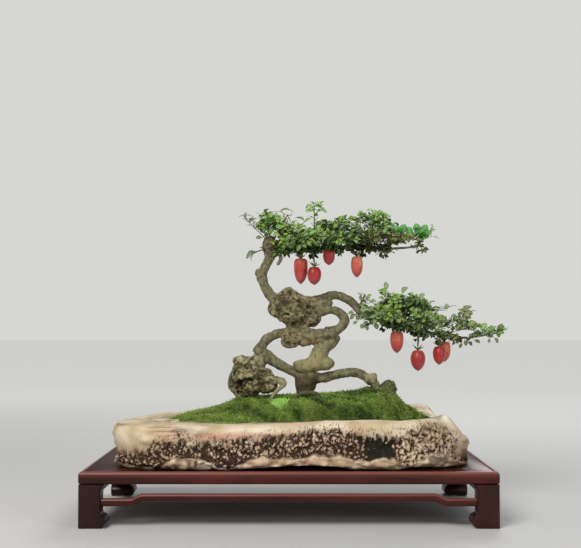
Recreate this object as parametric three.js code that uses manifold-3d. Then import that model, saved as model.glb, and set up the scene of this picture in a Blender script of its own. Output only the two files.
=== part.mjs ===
// A princess persimmon bonsai: a knotted old trunk with eight orange-red fruits, rooted in a mossy mound
// on a hollowed natural stone slab, which stands on a low lacquered wooden table.
// Millimetres, +Z up, the front of the planting faces -Y. Everything is laid out about the centre of the
// table's footprint, and the finished group is moved so that its origin is the bottom centre of the whole.
import * as THREE from 'three';
import { mergeVertices } from 'three/addons/utils/BufferGeometryUtils.js';
import Module from 'manifold-3d';

const wasm = await Module();
wasm.setup();

// Driving dimensions

const GAP = 0.3; // left between pieces that touch
const STAND = {
  width: 500, depth: 270, height: 67, edge: 15, frameWidth: 32, bead: 1, beadWidth: 4, rounding: 2.5,
};
const LEG = { thick: 26, foot: 33, hoofHeight: 21, chamfer: 1.5 };
const RAIL = { thick: 9, deep: 11, low: 30, rise: 5.5, stepAt: 42, ramp: 14, setback: 4 };
const PANEL = { thick: 8, lip: 6 };
const BATTEN = { wide: 24, thick: 6.5 };
const DECK = STAND.height - STAND.bead; // the flat the stone rests on
const STONE = {
  x: 1, y: -15, halfWidth: 230, halfDepth: 112, squareness: 4.6,
  shelf: 118, rim: 1.5, leftDrop: 4, rightDrop: 14,
  ridge: { x: 186, y: 66, reach: 36, height: 17 },
};
const MOUND = {
  x: 13, y: 10, halfWidth: 167, halfDepth: 63, roundness: 2.3,
  basin: 0.86, basinFloor: 92, skin: 4, edge: 2.6,
};
// The ridge of the mound: x, and height over the edge of the moss.
const RIDGE = [
  [-165, 0], [-130, 7], [-99, 14], [-67, 25], [0, 28], [54, 32],
  [100, 38], [122, 41], [140, 30], [154, 17], [184, 0],
];
const AROUND = 36; // points in each ring of the stone, the soil and the moss
const BARK_GROWTH = { none: 0, clear: 0.35 }; // the wood as it is, and the room it needs in its neighbours
const LEAF = { thick: 0.7, arch: 0.09, wide: 0.64, tilt: 1.5, stations: [[0.6, 1], [0.96, 0.4]] };
// How many sides a limb has, and how far apart its rings are.
const FACETS = {
  limb: { sides: 7, step: 13 },
  root: { sides: 5, step: 14 },
  spur: { sides: 4, step: 8 },
  shoot: { sides: 4, step: 18 },
};
const LIMB_OVERRUN = 0.4; // how far a limb's end bulges past its last station, as a share of its radius
const GOLDEN_ANGLE = THREE.MathUtils.degToRad(137.5);

const COLOURS = {
  lacquer: [0x5a201c, 0.35],
  stone: [0xd8c3a3, 0.85],
  soil: [0x3a2a1e, 1],
  moss: [0x4f7a23, 1],
  bark: [0x8b8263, 0.9],
  leaf: [0x4f9a45, 0.6],
  fruit: [0xd9432f, 0.35],
  calyx: [0x6f6a35, 0.8],
};

// Small helpers

// A repeatable stream of numbers from 0 to 1.
function seededRandom(seed) {
  let state = seed >>> 0;
  return () => {
    state = (state + 0x6d2b79f5) >>> 0;
    let mixed = Math.imul(state ^ (state >>> 15), state | 1);
    mixed = (mixed + Math.imul(mixed ^ (mixed >>> 7), mixed | 61)) ^ mixed;
    return ((mixed ^ (mixed >>> 14)) >>> 0) / 4294967296;
  };
}

// Smooth unevenness from -1 to 1 that repeats nowhere near its own wavelength.
function unevenness(x, y, z, wavelength) {
  const k = (2 * Math.PI) / wavelength;
  const first = Math.sin(k * x + 1.3) * Math.cos(0.83 * k * y);
  const second = Math.sin(0.91 * k * y + 2.1) * Math.cos(1.07 * k * z);
  const third = Math.sin(1.13 * k * z + 0.7) * Math.cos(0.77 * k * x + 0.4);
  return (first + second + third) / 2.2;
}

function smooth(value, low, high) {
  return THREE.MathUtils.smoothstep(value, low, high);
}

// A solid from a closed geometry: shared corners are merged and triangles that vanish are left out.
function solidOf(geometry) {
  const bare = geometry.clone();
  bare.deleteAttribute('normal');
  bare.deleteAttribute('uv');
  const merged = mergeVertices(bare, 1e-3);
  const corners = [];
  for (let i = 0; i < merged.index.count; i += 3) {
    const [a, b, c] = [0, 1, 2].map((k) => merged.index.getX(i + k));
    if (a !== b && b !== c && c !== a) corners.push(a, b, c);
  }
  return new wasm.Manifold(new wasm.Mesh({
    numProp: 3,
    vertProperties: new Float32Array(merged.attributes.position.array),
    triVerts: new Uint32Array(corners),
  }));
}

function geometryOf(solid) {
  const { vertProperties, triVerts } = solid.getMesh();
  const geometry = new THREE.BufferGeometry();
  geometry.setAttribute('position', new THREE.BufferAttribute(new Float32Array(vertProperties), 3));
  geometry.setIndex(new THREE.BufferAttribute(new Uint32Array(triVerts), 1));
  geometry.computeVertexNormals();
  return geometry;
}

function joined(solids) {
  return solids.reduce((whole, solid) => whole.add(solid));
}

// The largest body of a solid: cutting can leave loose scraps.
function largestBody(solid) {
  const bodies = solid.decompose();
  return bodies.reduce((best, body) => (body.volume() > best.volume() ? body : best));
}

// A closed skin through rings of points, with a point in the middle of the first ring and of the last.
// Each four-sided patch is split along its shorter diagonal, so that skins that lie on each other match.
function ringedSolid(rings, firstPole, lastPole) {
  const count = rings[0].length;
  const points = [firstPole, ...rings.flat(), lastPole];
  const at = (ring, i) => 1 + ring * count + (i % count);
  const faces = [];
  for (let i = 0; i < count; i += 1) {
    faces.push(0, at(0, i + 1), at(0, i));
    for (let ring = 0; ring + 1 < rings.length; ring += 1) {
      const [a, b, c, d] = [at(ring, i), at(ring, i + 1), at(ring + 1, i + 1), at(ring + 1, i)];
      const slant = points[a].distanceTo(points[c]) - points[b].distanceTo(points[d]);
      faces.push(...(slant <= 0 ? [a, b, c, a, c, d] : [a, b, d, b, c, d]));
    }
    faces.push(points.length - 1, at(rings.length - 1, i), at(rings.length - 1, i + 1));
  }
  const geometry = new THREE.BufferGeometry().setFromPoints(points);
  geometry.setIndex(faces);
  return solidOf(geometry);
}

// The table: a framed panel on four legs, with a stepped rail between each pair of legs

// One side of the frame, mitred at both ends. The profile runs from the outer face inwards.
function frameSide(length) {
  const { edge, frameWidth, bead, beadWidth, rounding } = STAND;
  const top = edge - bead;
  const profile = new THREE.Shape([
    new THREE.Vector2(rounding, 0),
    new THREE.Vector2(frameWidth + PANEL.lip, 0),
    new THREE.Vector2(frameWidth + PANEL.lip, top - PANEL.thick - GAP),
    new THREE.Vector2(frameWidth, top - PANEL.thick - GAP),
    new THREE.Vector2(frameWidth, top),
    new THREE.Vector2(beadWidth, top),
    new THREE.Vector2(beadWidth - bead, edge),
    new THREE.Vector2(rounding - bead, edge),
    new THREE.Vector2(0, edge - rounding),
    new THREE.Vector2(0, rounding),
  ]);
  const side = new THREE.ExtrudeGeometry(profile, { depth: length, bevelEnabled: false });
  const place = side.attributes.position;
  for (let i = 0; i < place.count; i += 1) {
    const inward = place.getX(i);
    const end = place.getZ(i) > length / 2 ? 1 : -1;
    place.setXYZ(i, end * (length / 2 - inward - GAP / 2), inward, place.getY(i));
  }
  return side;
}

// A leg: straight outer faces, and a hoof that swells inwards at the foot, the same from both sides.
function legGeometry() {
  const { thick, foot, hoofHeight, chamfer } = LEG;
  const height = STAND.height - STAND.edge - GAP;
  const outline = new THREE.Shape();
  outline.moveTo(chamfer, 0);
  outline.lineTo(foot - 8, 0);
  outline.bezierCurveTo(foot - 3, 1, foot + 1, 6, foot - 1, hoofHeight / 2);
  outline.bezierCurveTo(foot - 2.5, hoofHeight - 5.5, thick - 1, hoofHeight - 7, thick, hoofHeight);
  outline.lineTo(thick, height - 7);
  outline.quadraticCurveTo(thick + 0.5, height - 2, thick + 5, height);
  outline.lineTo(0, height);
  outline.lineTo(0, 4 * chamfer);
  const reach = foot + 5;
  const options = { depth: reach, bevelEnabled: false, curveSegments: 4 };
  const slab = new THREE.ExtrudeGeometry(outline, options).rotateX(Math.PI / 2);
  const fromFront = solidOf(slab.clone().translate(0, reach, 0));
  const fromSide = solidOf(slab.clone().rotateZ(Math.PI / 2));
  return geometryOf(fromFront.intersect(fromSide));
}

// A rail that steps up near each end, as long as the clear space between two legs.
function railGeometry(span) {
  const { thick, deep, low, rise, stepAt, ramp } = RAIL;
  const half = span / 2 - GAP;
  const rampStart = half - stepAt + ramp;
  const rampEnd = half - stepAt;
  const ramped = [0, 0.33, 0.67, 1].map((share) => [
    THREE.MathUtils.lerp(rampStart, rampEnd, share),
    low + rise * smooth(share, 0, 1),
  ]);
  const leftHalf = [[half, low], ...ramped].map(([x, z]) => [-x, z]);
  const rightHalf = [...ramped.reverse(), [half, low]];
  const along = [...leftHalf, ...rightHalf];
  const under = along.map(([x, z]) => new THREE.Vector2(x, z - thick / 2));
  const over = along.map(([x, z]) => new THREE.Vector2(x, z + thick / 2));
  const outline = new THREE.Shape([...under, ...over.reverse()]);
  return new THREE.ExtrudeGeometry(outline, { depth: deep, bevelEnabled: false }).rotateX(Math.PI / 2);
}

// The stone, the soil in its basin, and the moss over both

// A point on a rounded oblong: the higher the power, the squarer its corners.
function superellipse(angle, halfX, halfY, power) {
  const c = Math.cos(angle);
  const s = Math.sin(angle);
  const reach = (Math.abs(c / halfX) ** power + Math.abs(s / halfY) ** power) ** (-1 / power);
  return [reach * c, reach * s];
}

function stoneOutline(angle) {
  const [x, y] = superellipse(angle, STONE.halfWidth, STONE.halfDepth, STONE.squareness);
  const wander = 0.99 + 0.012 * Math.sin(3 * angle + 0.6) + 0.012 * Math.sin(7 * angle + 2);
  return [STONE.x + x * wander, STONE.y + y * wander];
}

function mossOutline(angle) {
  const [x, y] = superellipse(angle, MOUND.halfWidth, MOUND.halfDepth, MOUND.roundness);
  const wander = 1 + 0.03 * Math.sin(5 * angle + 1) + 0.02 * Math.sin(9 * angle);
  return [MOUND.x + x * wander, MOUND.y + y * wander];
}

// How high the stone's bare top stands: lower at both ends, with a ridge at the back right.
function stoneTop(x, y) {
  const { shelf, rim, leftDrop, rightDrop, ridge } = STONE;
  const away = Math.hypot(x - ridge.x, y - ridge.y) / ridge.reach;
  const drop = leftDrop * smooth(-x, 120, 215) + rightDrop * smooth(x, 190, 226);
  return shelf + rim - drop + ridge.height * Math.exp(-(away ** 2));
}

// Height of the moss over its edge: the ridge, falling away to the front and back.
function moundHeight(x, y) {
  const right = Math.max(1, RIDGE.findIndex(([at]) => at >= x));
  const [[x0, low], [x1, high]] = [RIDGE[right - 1], RIDGE[right]];
  const ridge = THREE.MathUtils.lerp(low, high, THREE.MathUtils.clamp((x - x0) / (x1 - x0), 0, 1));
  const across = Math.max(0, 1 - Math.abs((y - MOUND.y) / (MOUND.halfDepth * 1.04)) ** 2.2);
  return ridge * across ** 0.8 + 1.2 * unevenness(x, y, 0, 47) * across;
}

// A ring of points at a share of the way from the mound's middle to the edge of the moss.
function moundRing(share, heightAt) {
  return Array.from({ length: AROUND }, (_, i) => {
    const [edgeX, edgeY] = mossOutline((i / AROUND) * 2 * Math.PI);
    const x = MOUND.x + (edgeX - MOUND.x) * share;
    const y = MOUND.y + (edgeY - MOUND.y) * share;
    return new THREE.Vector3(x, y, heightAt(x, y));
  });
}

// A ring of points round the stone, moved in from its widest outline, at a share of its height there.
function stoneRing(inset, share, roughness) {
  const foot = DECK + GAP;
  const heightAt = (x, y) => foot + share * (stoneTop(x, y) - foot);
  return Array.from({ length: AROUND }, (_, i) => {
    const angle = (i / AROUND) * 2 * Math.PI;
    const [edgeX, edgeY] = stoneOutline(angle);
    const [dx, dy] = [edgeX - STONE.x, edgeY - STONE.y];
    const rough = roughness * unevenness(edgeX, edgeY, share * 90, 26);
    const keep = 1 - (inset + rough) / Math.hypot(dx, dy);
    const [x, y] = [STONE.x + dx * keep, STONE.y + dy * keep];
    return new THREE.Vector3(x, y, heightAt(x, y));
  });
}

const MOUND_SHARES = [0.34, 0.66];
const BASIN_ROOM = 0.006; // the soil stops short of the basin's wall by this share

// The stone's side bulges low down, is hollowed along its rough band, and rounds over to a smooth rim.
// Each ring has its inset from the widest outline, its share of the height, and how uneven it is.
const STONE_SIDE = [
  { inset: 11, share: 0, rough: 2 },
  { inset: 5, share: 0.06, rough: 3 },
  { inset: 1, share: 0.2, rough: 3 },
  { inset: 4, share: 0.4, rough: 3 },
  { inset: 2.5, share: 0.6, rough: 3 },
  { inset: 1, share: 0.8, rough: 2 },
  { inset: 3.5, share: 0.94, rough: 1 },
  { inset: 11, share: 1, rough: 0 },
];

function stoneSolid() {
  const shelf = () => STONE.shelf;
  const floor = () => MOUND.basinFloor;
  const rings = [
    ...STONE_SIDE.map(({ inset, share, rough }) => stoneRing(inset, share, rough)),
    moundRing(1.04, shelf),
    moundRing(MOUND.basin, shelf),
    moundRing(MOUND.basin - 0.06, floor),
  ];
  const under = new THREE.Vector3(STONE.x, STONE.y, DECK + GAP);
  return ringedSolid(rings, under, new THREE.Vector3(MOUND.x, MOUND.y, MOUND.basinFloor));
}

function mossTop(x, y) {
  return STONE.shelf + MOUND.edge + moundHeight(x, y);
}

function soilTop(x, y) {
  return Math.max(STONE.shelf - 2, mossTop(x, y) - MOUND.skin);
}

function soilSolid(lift) {
  const inside = MOUND.basin - BASIN_ROOM;
  const top = (x, y) => soilTop(x, y) + lift;
  const rings = [
    moundRing(inside - 0.06, () => MOUND.basinFloor + GAP),
    moundRing(inside, top),
    ...[...MOUND_SHARES].reverse().map((share) => moundRing(share, top)),
  ];
  const middle = [MOUND.x, MOUND.y];
  const under = new THREE.Vector3(...middle, MOUND.basinFloor + GAP);
  return ringedSolid(rings, under, new THREE.Vector3(...middle, top(...middle)));
}

// The moss lies on the soil and laps over the stone round the basin. An old root's end, grown over,
// stands up out of it at the right.
function mossSolid() {
  const overSoil = (x, y) => soilTop(x, y) + GAP;
  const overStone = () => STONE.shelf + GAP;
  const rings = [
    ...MOUND_SHARES.map((share) => moundRing(share, overSoil)),
    moundRing(MOUND.basin - BASIN_ROOM, overSoil),
    moundRing(MOUND.basin + 0.02, overStone),
    moundRing(1, overStone),
    moundRing(0.98, () => STONE.shelf + 2),
    moundRing(0.88, mossTop),
    ...[...MOUND_SHARES].reverse().map((share) => moundRing(share, mossTop)),
  ];
  const middle = [MOUND.x, MOUND.y];
  const under = new THREE.Vector3(...middle, overSoil(...middle));
  const carpet = ringedSolid(rings, under, new THREE.Vector3(...middle, mossTop(...middle)));
  const oldRoot = knob({ at: [131, 0, 159], half: [9, 9, 9] }, BARK_GROWTH.none);
  return carpet.add(oldRoot.subtract(soilSolid(MOUND.skin / 2)));
}

// The wood: trunk, burls, roots and branches grew as one piece

// A rounded swelling of the wood. Its surface rises in as many bumps as are asked for, spread evenly
// round it, and every fourth one is a hollow instead.
function knob({ at: [x, y, z], half: [a, b, c], split = 1, bumps = 0, height = 0.16 }, growth) {
  const ball = new THREE.IcosahedronGeometry(1, split);
  const centres = Array.from({ length: bumps }, (_, i) => {
    const level = 1 - (2 * (i + 0.5)) / bumps;
    const flat = Math.sqrt(1 - level * level);
    return new THREE.Vector3(flat * Math.cos(i * GOLDEN_ANGLE), flat * Math.sin(i * GOLDEN_ANGLE), level);
  });
  const reach = 1.25 * Math.sqrt(Math.PI / Math.max(1, bumps));
  const middle = new THREE.Vector3(x, y, z);
  const place = ball.attributes.position;
  const out = new THREE.Vector3();
  for (let i = 0; i < place.count; i += 1) {
    out.fromBufferAttribute(place, i);
    const raised = centres.reduce((sum, centre, k) => {
      const near = Math.exp(-((out.distanceTo(centre) / reach) ** 2));
      return sum + near * (k % 4 === 3 ? -1.2 : 1);
    }, 0);
    const swell = 1 + 0.08 * unevenness(out.x * a + x, out.y * b + y, out.z * c + z, 13) + height * raised;
    const half = new THREE.Vector3(a, b, c).multiplyScalar(swell).addScalar(growth);
    place.setXYZ(i, ...out.multiply(half).add(middle));
  }
  return solidOf(ball);
}

// A round limb through points of x, y, z and radius, with rounded ends.
function limb(stations, { sides, step }, growth) {
  const points = stations.map(([x, y, z]) => new THREE.Vector3(x, y, z));
  const curve = new THREE.CatmullRomCurve3(points, false, 'centripetal');
  const segments = Math.max(2, Math.round(curve.getLength() / step));
  const frames = curve.computeFrenetFrames(segments, false);
  const rings = [];
  for (let s = 0; s <= segments; s += 1) {
    const centre = curve.getPointAt(s / segments);
    const along = curve.getUtoTmapping(s / segments) * (stations.length - 1);
    const before = Math.min(stations.length - 2, Math.floor(along));
    const radius = THREE.MathUtils.lerp(stations[before][3], stations[before + 1][3], along - before);
    rings.push(Array.from({ length: sides }, (_, i) => {
      const angle = (i / sides) * 2 * Math.PI;
      const out = frames.normals[s].clone().multiplyScalar(Math.cos(angle))
        .addScaledVector(frames.binormals[s], Math.sin(angle));
      const bulge = 1 + 0.09 * unevenness(centre.x + 9 * out.x, centre.y + 9 * out.y, centre.z, 17);
      return centre.clone().addScaledVector(out, radius * bulge + growth);
    }));
  }
  const overrun = (station) => station[3] * LIMB_OVERRUN + growth;
  const start = curve.getPointAt(0).addScaledVector(frames.tangents[0], -overrun(stations[0]));
  const end = curve.getPointAt(1).addScaledVector(frames.tangents[segments], overrun(stations.at(-1)));
  return ringedSolid(rings, start, end);
}

// The gnarled masses: where each knob is and its half width, half depth and half height.
const KNOBS = [
  { at: [3, 0, 261], half: [27, 20, 19], split: 4, bumps: 26 }, // upper burl
  { at: [2, -1, 282], half: [8, 8, 7], split: 0 },
  { at: [25, 1, 268], half: [14, 13, 11] },
  { at: [17, 0, 243], half: [12, 11, 7] },
  { at: [-44, 0, 170], half: [25, 18, 15], split: 4, bumps: 24 }, // lower burl
  { at: [-61, -3, 193], half: [13, 11, 8.5] },
  { at: [-41, 2, 191], half: [11, 10, 11] },
  { at: [17, -9, 187], half: [12, 10, 8.5] }, // smooth foot of the middle trunk
  { at: [48, -9, 190], half: [11, 10, 9.5] },
  { at: [33, -9, 190], half: [15, 12, 10.5] },
  { at: [-25, 0, 346], half: [10, 10, 11], split: 2, bumps: 12 }, // crown of the left trunk
  { at: [-42, 0, 311], half: [5, 6, 6], split: 0 },
  { at: [18, -5, 221], half: [22, 8, 8], split: 2, bumps: 14 }, // burl on the bar between the loops
];

// The stout limbs, each a run of x, y, z and radius.
const LIMBS = [
  [[21, 5, 106, 11], [21, 4, 128, 9], [20, 3, 150, 8], [20, 2, 160, 9.5], [22, 0, 171, 13],
    [26, -3, 181, 13]],
  [[62, -8, 227, 7], [56, -9, 218, 8.5], [47, -10, 211, 9.5], [40, -10, 202, 10], [35, -9, 192, 11]],
  [[34, -4, 258, 6.5], [43, -8, 260, 6], [56, -11, 263, 6], [69, -12, 257, 6], [74, -12, 246, 6],
    [66, -11, 236, 6], [54, -8, 230, 6.5], [40, -6, 228, 7], [27, -5, 228, 8], [14, -4, 230, 8],
    [0, -3, 231, 7], [-14, -1, 229, 6.2], [-29, 1, 222, 6.5], [-36, 2, 213, 7], [-41, 2, 203, 8.5]],
  [[-36, 4, 203, 9], [-29, 5, 199, 8.5], [-17, 6, 191, 7], [-5, 6, 184, 6.2], [6, 5, 179, 6.5],
    [18, 3, 175, 7]],
  [[32, 2, 172, 8], [42, 0, 171, 6.2], [56, -2, 174, 5.6], [74, -4, 178, 5.4], [88, -5, 178, 5.4],
    [101, -6, 172, 5.6], [110, -6, 166, 6], [115, -5, 156, 5], [117, -4, 144, 4]],
  [[2, 0, 268, 9], [-16, 0, 272, 7.6], [-29, 0, 282, 6.6], [-35, 0, 293, 6.2], [-38, 0, 306, 6.8],
    [-33, 0, 317, 6.2], [-26, 1, 329, 6.6], [-25, 1, 340, 8.5], [-25, 0, 356, 6.5]],
  [[28, 2, 269, 9], [44, 3, 273, 8], [59, 4, 277, 7.2], [74, 4, 276, 6.5], [86, 3, 269, 6],
    [96, 2, 257, 5.4], [110, 1, 250, 4.6], [131, -2, 245, 3.8], [153, 0, 239, 3.2], [179, 3, 232, 2.7],
    [206, 0, 226, 2.3], [232, -2, 224, 1.9], [258, 0, 227, 1.5], [274, 2, 230, 1.2]],
  [[-22, 1, 347, 5.5], [-10, 1, 344, 4.6], [2, 0, 341, 4], [16, -2, 339, 3.7], [40, 0, 340, 3.2],
    [70, 3, 343, 2.8], [100, 0, 342, 2.3], [130, -3, 341, 1.9], [160, -1, 343, 1.5], [178, 0, 347, 1.2]],
];

// Thin roots and the short stub below the crown.
const SMALL_ROOTS = [
  [[-66, -6, 188, 2.4], [-71, -8, 184, 1.9], [-77, -9, 173, 1.7], [-78, -9, 160, 1.7], [-70, -9, 151, 1.9],
    [-64, -8, 142, 1.9]],
  [[-22, -12, 168, 4.2], [-10, -16, 168, 3.4], [-4, -18, 165, 3], [-10, -19, 161, 2.8],
    [-17, -20, 152, 2.5], [-20, -20, 140, 2.2]],
  [[20, 0, 130, 3], [10, -17, 132, 2.2], [6, -28, 139, 1.8], [13, -31, 149, 1.7], [26, -31, 151, 1.7],
    [37, -30, 147, 1.7], [41, -29, 139, 1.8]],
  [[-45, 6, 158, 7], [-50, 10, 140, 5], [-58, 14, 118, 3.5]],
  [[16, 6, 118, 7], [-4, 12, 108, 5], [-26, 16, 103, 3]],
  [[26, 4, 118, 7], [48, 8, 108, 5], [72, 12, 103, 3]],
  [[-21, -3, 334, 5], [-14, -5, 326, 3.4], [-16, -6, 320, 3]],
];

// Each fruit: the middle of its top, its length and width, and the path of the spur that carries it.
const FRUITS = [
  { top: [15.5, -13, 329], long: 35, wide: 18, spur: [[14, -2, 339], [15, -10, 338], [15.5, -13, 335]] },
  { top: [33, -25, 317], long: 25, wide: 18, spur: [[29, 0, 339], [30, -16, 337], [31, -24, 331]] },
  { top: [53, -14, 339], long: 21, wide: 15.5, spur: [[50, 1, 341], [52, -8, 346], [53, -14, 345]] },
  { top: [89.5, -11, 331], long: 29, wide: 15.5, spur: [[88, 1, 343], [89, -7, 341], [89.5, -11, 338]] },
  { top: [142.5, -13, 234], long: 31, wide: 17, spur: [[141, -1, 242], [142, -9, 242], [142.5, -13, 240]] },
  { top: [169.5, -15, 209], long: 29, wide: 19, spur: [[168, 2, 235], [169, -11, 233], [169.5, -15, 227]] },
  { top: [197.5, -14, 213], long: 25, wide: 16, spur: [[196, 1, 228], [197, -9, 227], [197.5, -14, 222]] },
  { top: [207, 9, 221], long: 29, wide: 14.5, spur: [[206, 1, 226], [207, 6, 229], [207, 9, 226]] },
];

const SPUR_RADIUS = 1.1;

function woodSolid(growth) {
  return joined([
    ...LIMBS.map((stations) => limb(stations, FACETS.limb, growth)),
    ...SMALL_ROOTS.map((stations) => limb(stations, FACETS.root, growth)),
    ...FRUITS.map(({ spur }) => limb(spur.map((p) => [...p, SPUR_RADIUS]), FACETS.spur, growth)),
    ...KNOBS.map((one) => knob(one, growth)),
  ]);
}

// Fruits and their calyxes

// The profile runs from the top down, in shares of the half width and of the length.
const FRUIT = {
  sides: 10,
  profile: [[0, 0], [0.66, 0.03], [0.96, 0.18], [1, 0.42], [0.8, 0.7], [0.26, 0.95], [0, 1]],
};

// A drop-shaped fruit: a rounded shoulder under the calyx, drawn out to a small point below.
function fruitGeometry({ long, wide }) {
  const points = FRUIT.profile.map(([across, down]) => new THREE.Vector2((across * wide) / 2, -down * long));
  return new THREE.LatheGeometry(points.reverse(), FRUIT.sides).rotateX(Math.PI / 2);
}

// A thin blade from its root at the origin out along +X, arched, with its upper face up. It widens from a
// point at the root, and ends blunt. Stations are shares of its length and of its half width.
function bladeSolid(long, wide, thick) {
  const rows = LEAF.stations.map(([along, across]) => [
    along * long,
    (across * wide) / 2,
    long * LEAF.arch * Math.sin(Math.PI * along),
  ]);
  const face = (lift) => [
    new THREE.Vector3(0, 0, lift),
    ...rows.flatMap(([x, y, z]) => [new THREE.Vector3(x, y, z + lift), new THREE.Vector3(x, -y, z + lift)]),
  ];
  const points = [...face(thick / 2), ...face(-thick / 2)];
  const half = points.length / 2;
  const faces = [0, 2, 1, half, half + 1, half + 2];
  const quad = (a, b, c, d) => faces.push(a, b, c, a, c, d);
  const edge = (a, b) => quad(a, b, half + b, half + a);
  for (let left = 1; left + 2 < half; left += 2) {
    quad(left, left + 1, left + 3, left + 2);
    faces.push(half + left, half + left + 3, half + left + 1, half + left, half + left + 2, half + left + 3);
    edge(left, left + 2);
    edge(left + 3, left + 1);
  }
  edge(0, 1);
  edge(2, 0);
  edge(half - 2, half - 1);
  const geometry = new THREE.BufferGeometry().setFromPoints(points);
  geometry.setIndex(faces);
  return solidOf(geometry);
}

const CALYX = { points: 12, turn: 0.4, reach: 8, valley: 3.2, thick: 0.8, rise: 1.9, neck: 1.3, stalk: 0.9 };

// The calyx spreads four narrow sepals over the fruit's shoulder, and its stalk runs up to the spur.
function calyxSolid({ top: [x, y, z], spur }) {
  const hang = new THREE.Vector3(...spur.at(-1));
  const seat = new THREE.Vector3(x, y, z + GAP);
  const ring = (centre, radiusAt, height) => Array.from({ length: CALYX.points }, (_, i) => {
    const angle = (i / CALYX.points) * 2 * Math.PI + CALYX.turn;
    const radius = radiusAt(i);
    const lift = CALYX.rise * (radius / CALYX.reach) ** 2;
    return new THREE.Vector3(radius * Math.cos(angle), radius * Math.sin(angle), height + lift).add(centre);
  });
  const star = (i) => (i % 3 ? CALYX.valley : CALYX.reach);
  const top = hang.clone().setZ(hang.z - SPUR_RADIUS * LIMB_OVERRUN - GAP);
  const rings = [
    ring(seat, star, 0),
    ring(seat, star, CALYX.thick),
    ring(seat, () => CALYX.neck, 2 * CALYX.thick),
    ring(top, () => CALYX.stalk, -GAP),
  ];
  return ringedSolid(rings, seat, top);
}

function placed(solid, matrix) {
  return solid.transform(matrix.elements);
}

// Leafy sprays: a thin shoot with leaves turned about it by the golden angle

const FIRST_SEED = 100;
const LEAF_ROOM = 0.5; // kept between a leaf and everything that isn't its own shoot
const SHOOT = { baseRadius: 1.3, tipRadius: 0.8, bare: 0.12 };

// Root on the wood, tip, number of leaves, leaf length in the middle of its range.
const SPRAYS = {
  upper_spray_1: { root: [-30, -3, 353], tip: [-60, -6, 383], leaves: 7, leaf: 14, bare: 0.4 },
  upper_spray_2: { root: [-26, 0, 358], tip: [-31, -8, 389], leaves: 8, leaf: 16 },
  upper_spray_3: { root: [-20, 3, 354], tip: [-2, 8, 387], leaves: 8, leaf: 16 },
  upper_spray_4: { root: [-32, -2, 340], tip: [-50, -9, 332], leaves: 3, leaf: 14, bare: 0.4 },
  upper_spray_5: { root: [4, 0, 341], tip: [12, -16, 368], leaves: 8, leaf: 16 },
  upper_spray_6: { root: [2, 0, 341], tip: [22, -50, 352], leaves: 9, leaf: 16 },
  upper_spray_7: { root: [12, 0, 340], tip: [30, 52, 360], leaves: 9, leaf: 16 },
  upper_spray_8: { root: [34, 0, 341], tip: [33, -3, 398], leaves: 9, leaf: 14, bare: 0.4 },
  upper_spray_9: { root: [44, 0, 340], tip: [64, -52, 351], leaves: 9, leaf: 16 },
  upper_spray_10: { root: [54, 1, 341], tip: [76, 52, 361], leaves: 9, leaf: 16 },
  upper_spray_11: { root: [60, 2, 343], tip: [60, 12, 379], leaves: 9, leaf: 16 },
  upper_spray_12: { root: [82, 1, 343], tip: [104, -50, 353], leaves: 9, leaf: 16 },
  upper_spray_13: { root: [92, 1, 343], tip: [116, 48, 362], leaves: 9, leaf: 16 },
  upper_spray_14: { root: [102, 0, 342], tip: [114, -4, 387], leaves: 9, leaf: 16 },
  upper_spray_15: { root: [122, -2, 342], tip: [148, -34, 356], leaves: 8, leaf: 15 },
  upper_spray_16: { root: [130, -2, 341], tip: [140, 14, 377], leaves: 8, leaf: 16 },
  upper_spray_17: { root: [168, -1, 345], tip: [188, -3, 366], leaves: 7, leaf: 15 },
  lower_spray_1: { root: [92, 2, 262], tip: [99, -8, 280], leaves: 6, leaf: 14 },
  lower_spray_2: { root: [124, -1, 247], tip: [130, -6, 283], leaves: 9, leaf: 15 },
  lower_spray_3: { root: [112, 0, 249], tip: [128, -44, 250], leaves: 9, leaf: 15 },
  lower_spray_4: { root: [132, -2, 245], tip: [152, 42, 262], leaves: 9, leaf: 15 },
  lower_spray_5: { root: [152, 0, 239], tip: [160, 6, 279], leaves: 9, leaf: 15 },
  lower_spray_6: { root: [158, 1, 238], tip: [178, -40, 244], leaves: 9, leaf: 15 },
  lower_spray_7: { root: [176, 3, 233], tip: [188, 20, 270], leaves: 8, leaf: 15 },
  lower_spray_8: { root: [210, -1, 226], tip: [231, -8, 258], leaves: 8, leaf: 14 },
  lower_spray_9: { root: [258, 0, 228], tip: [278, -2, 234], leaves: 7, leaf: 14 },
};

function shootCurve({ root, tip }) {
  const [start, end] = [new THREE.Vector3(...root), new THREE.Vector3(...tip)];
  const middle = start.clone().lerp(end, 0.5);
  middle.z += 0.12 * start.distanceTo(end) * (Math.abs(end.z - start.z) < 25 ? 1 : 0);
  middle.y += 0.1 * (end.x - start.x);
  return new THREE.QuadraticBezierCurve3(start, middle, end);
}

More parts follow.
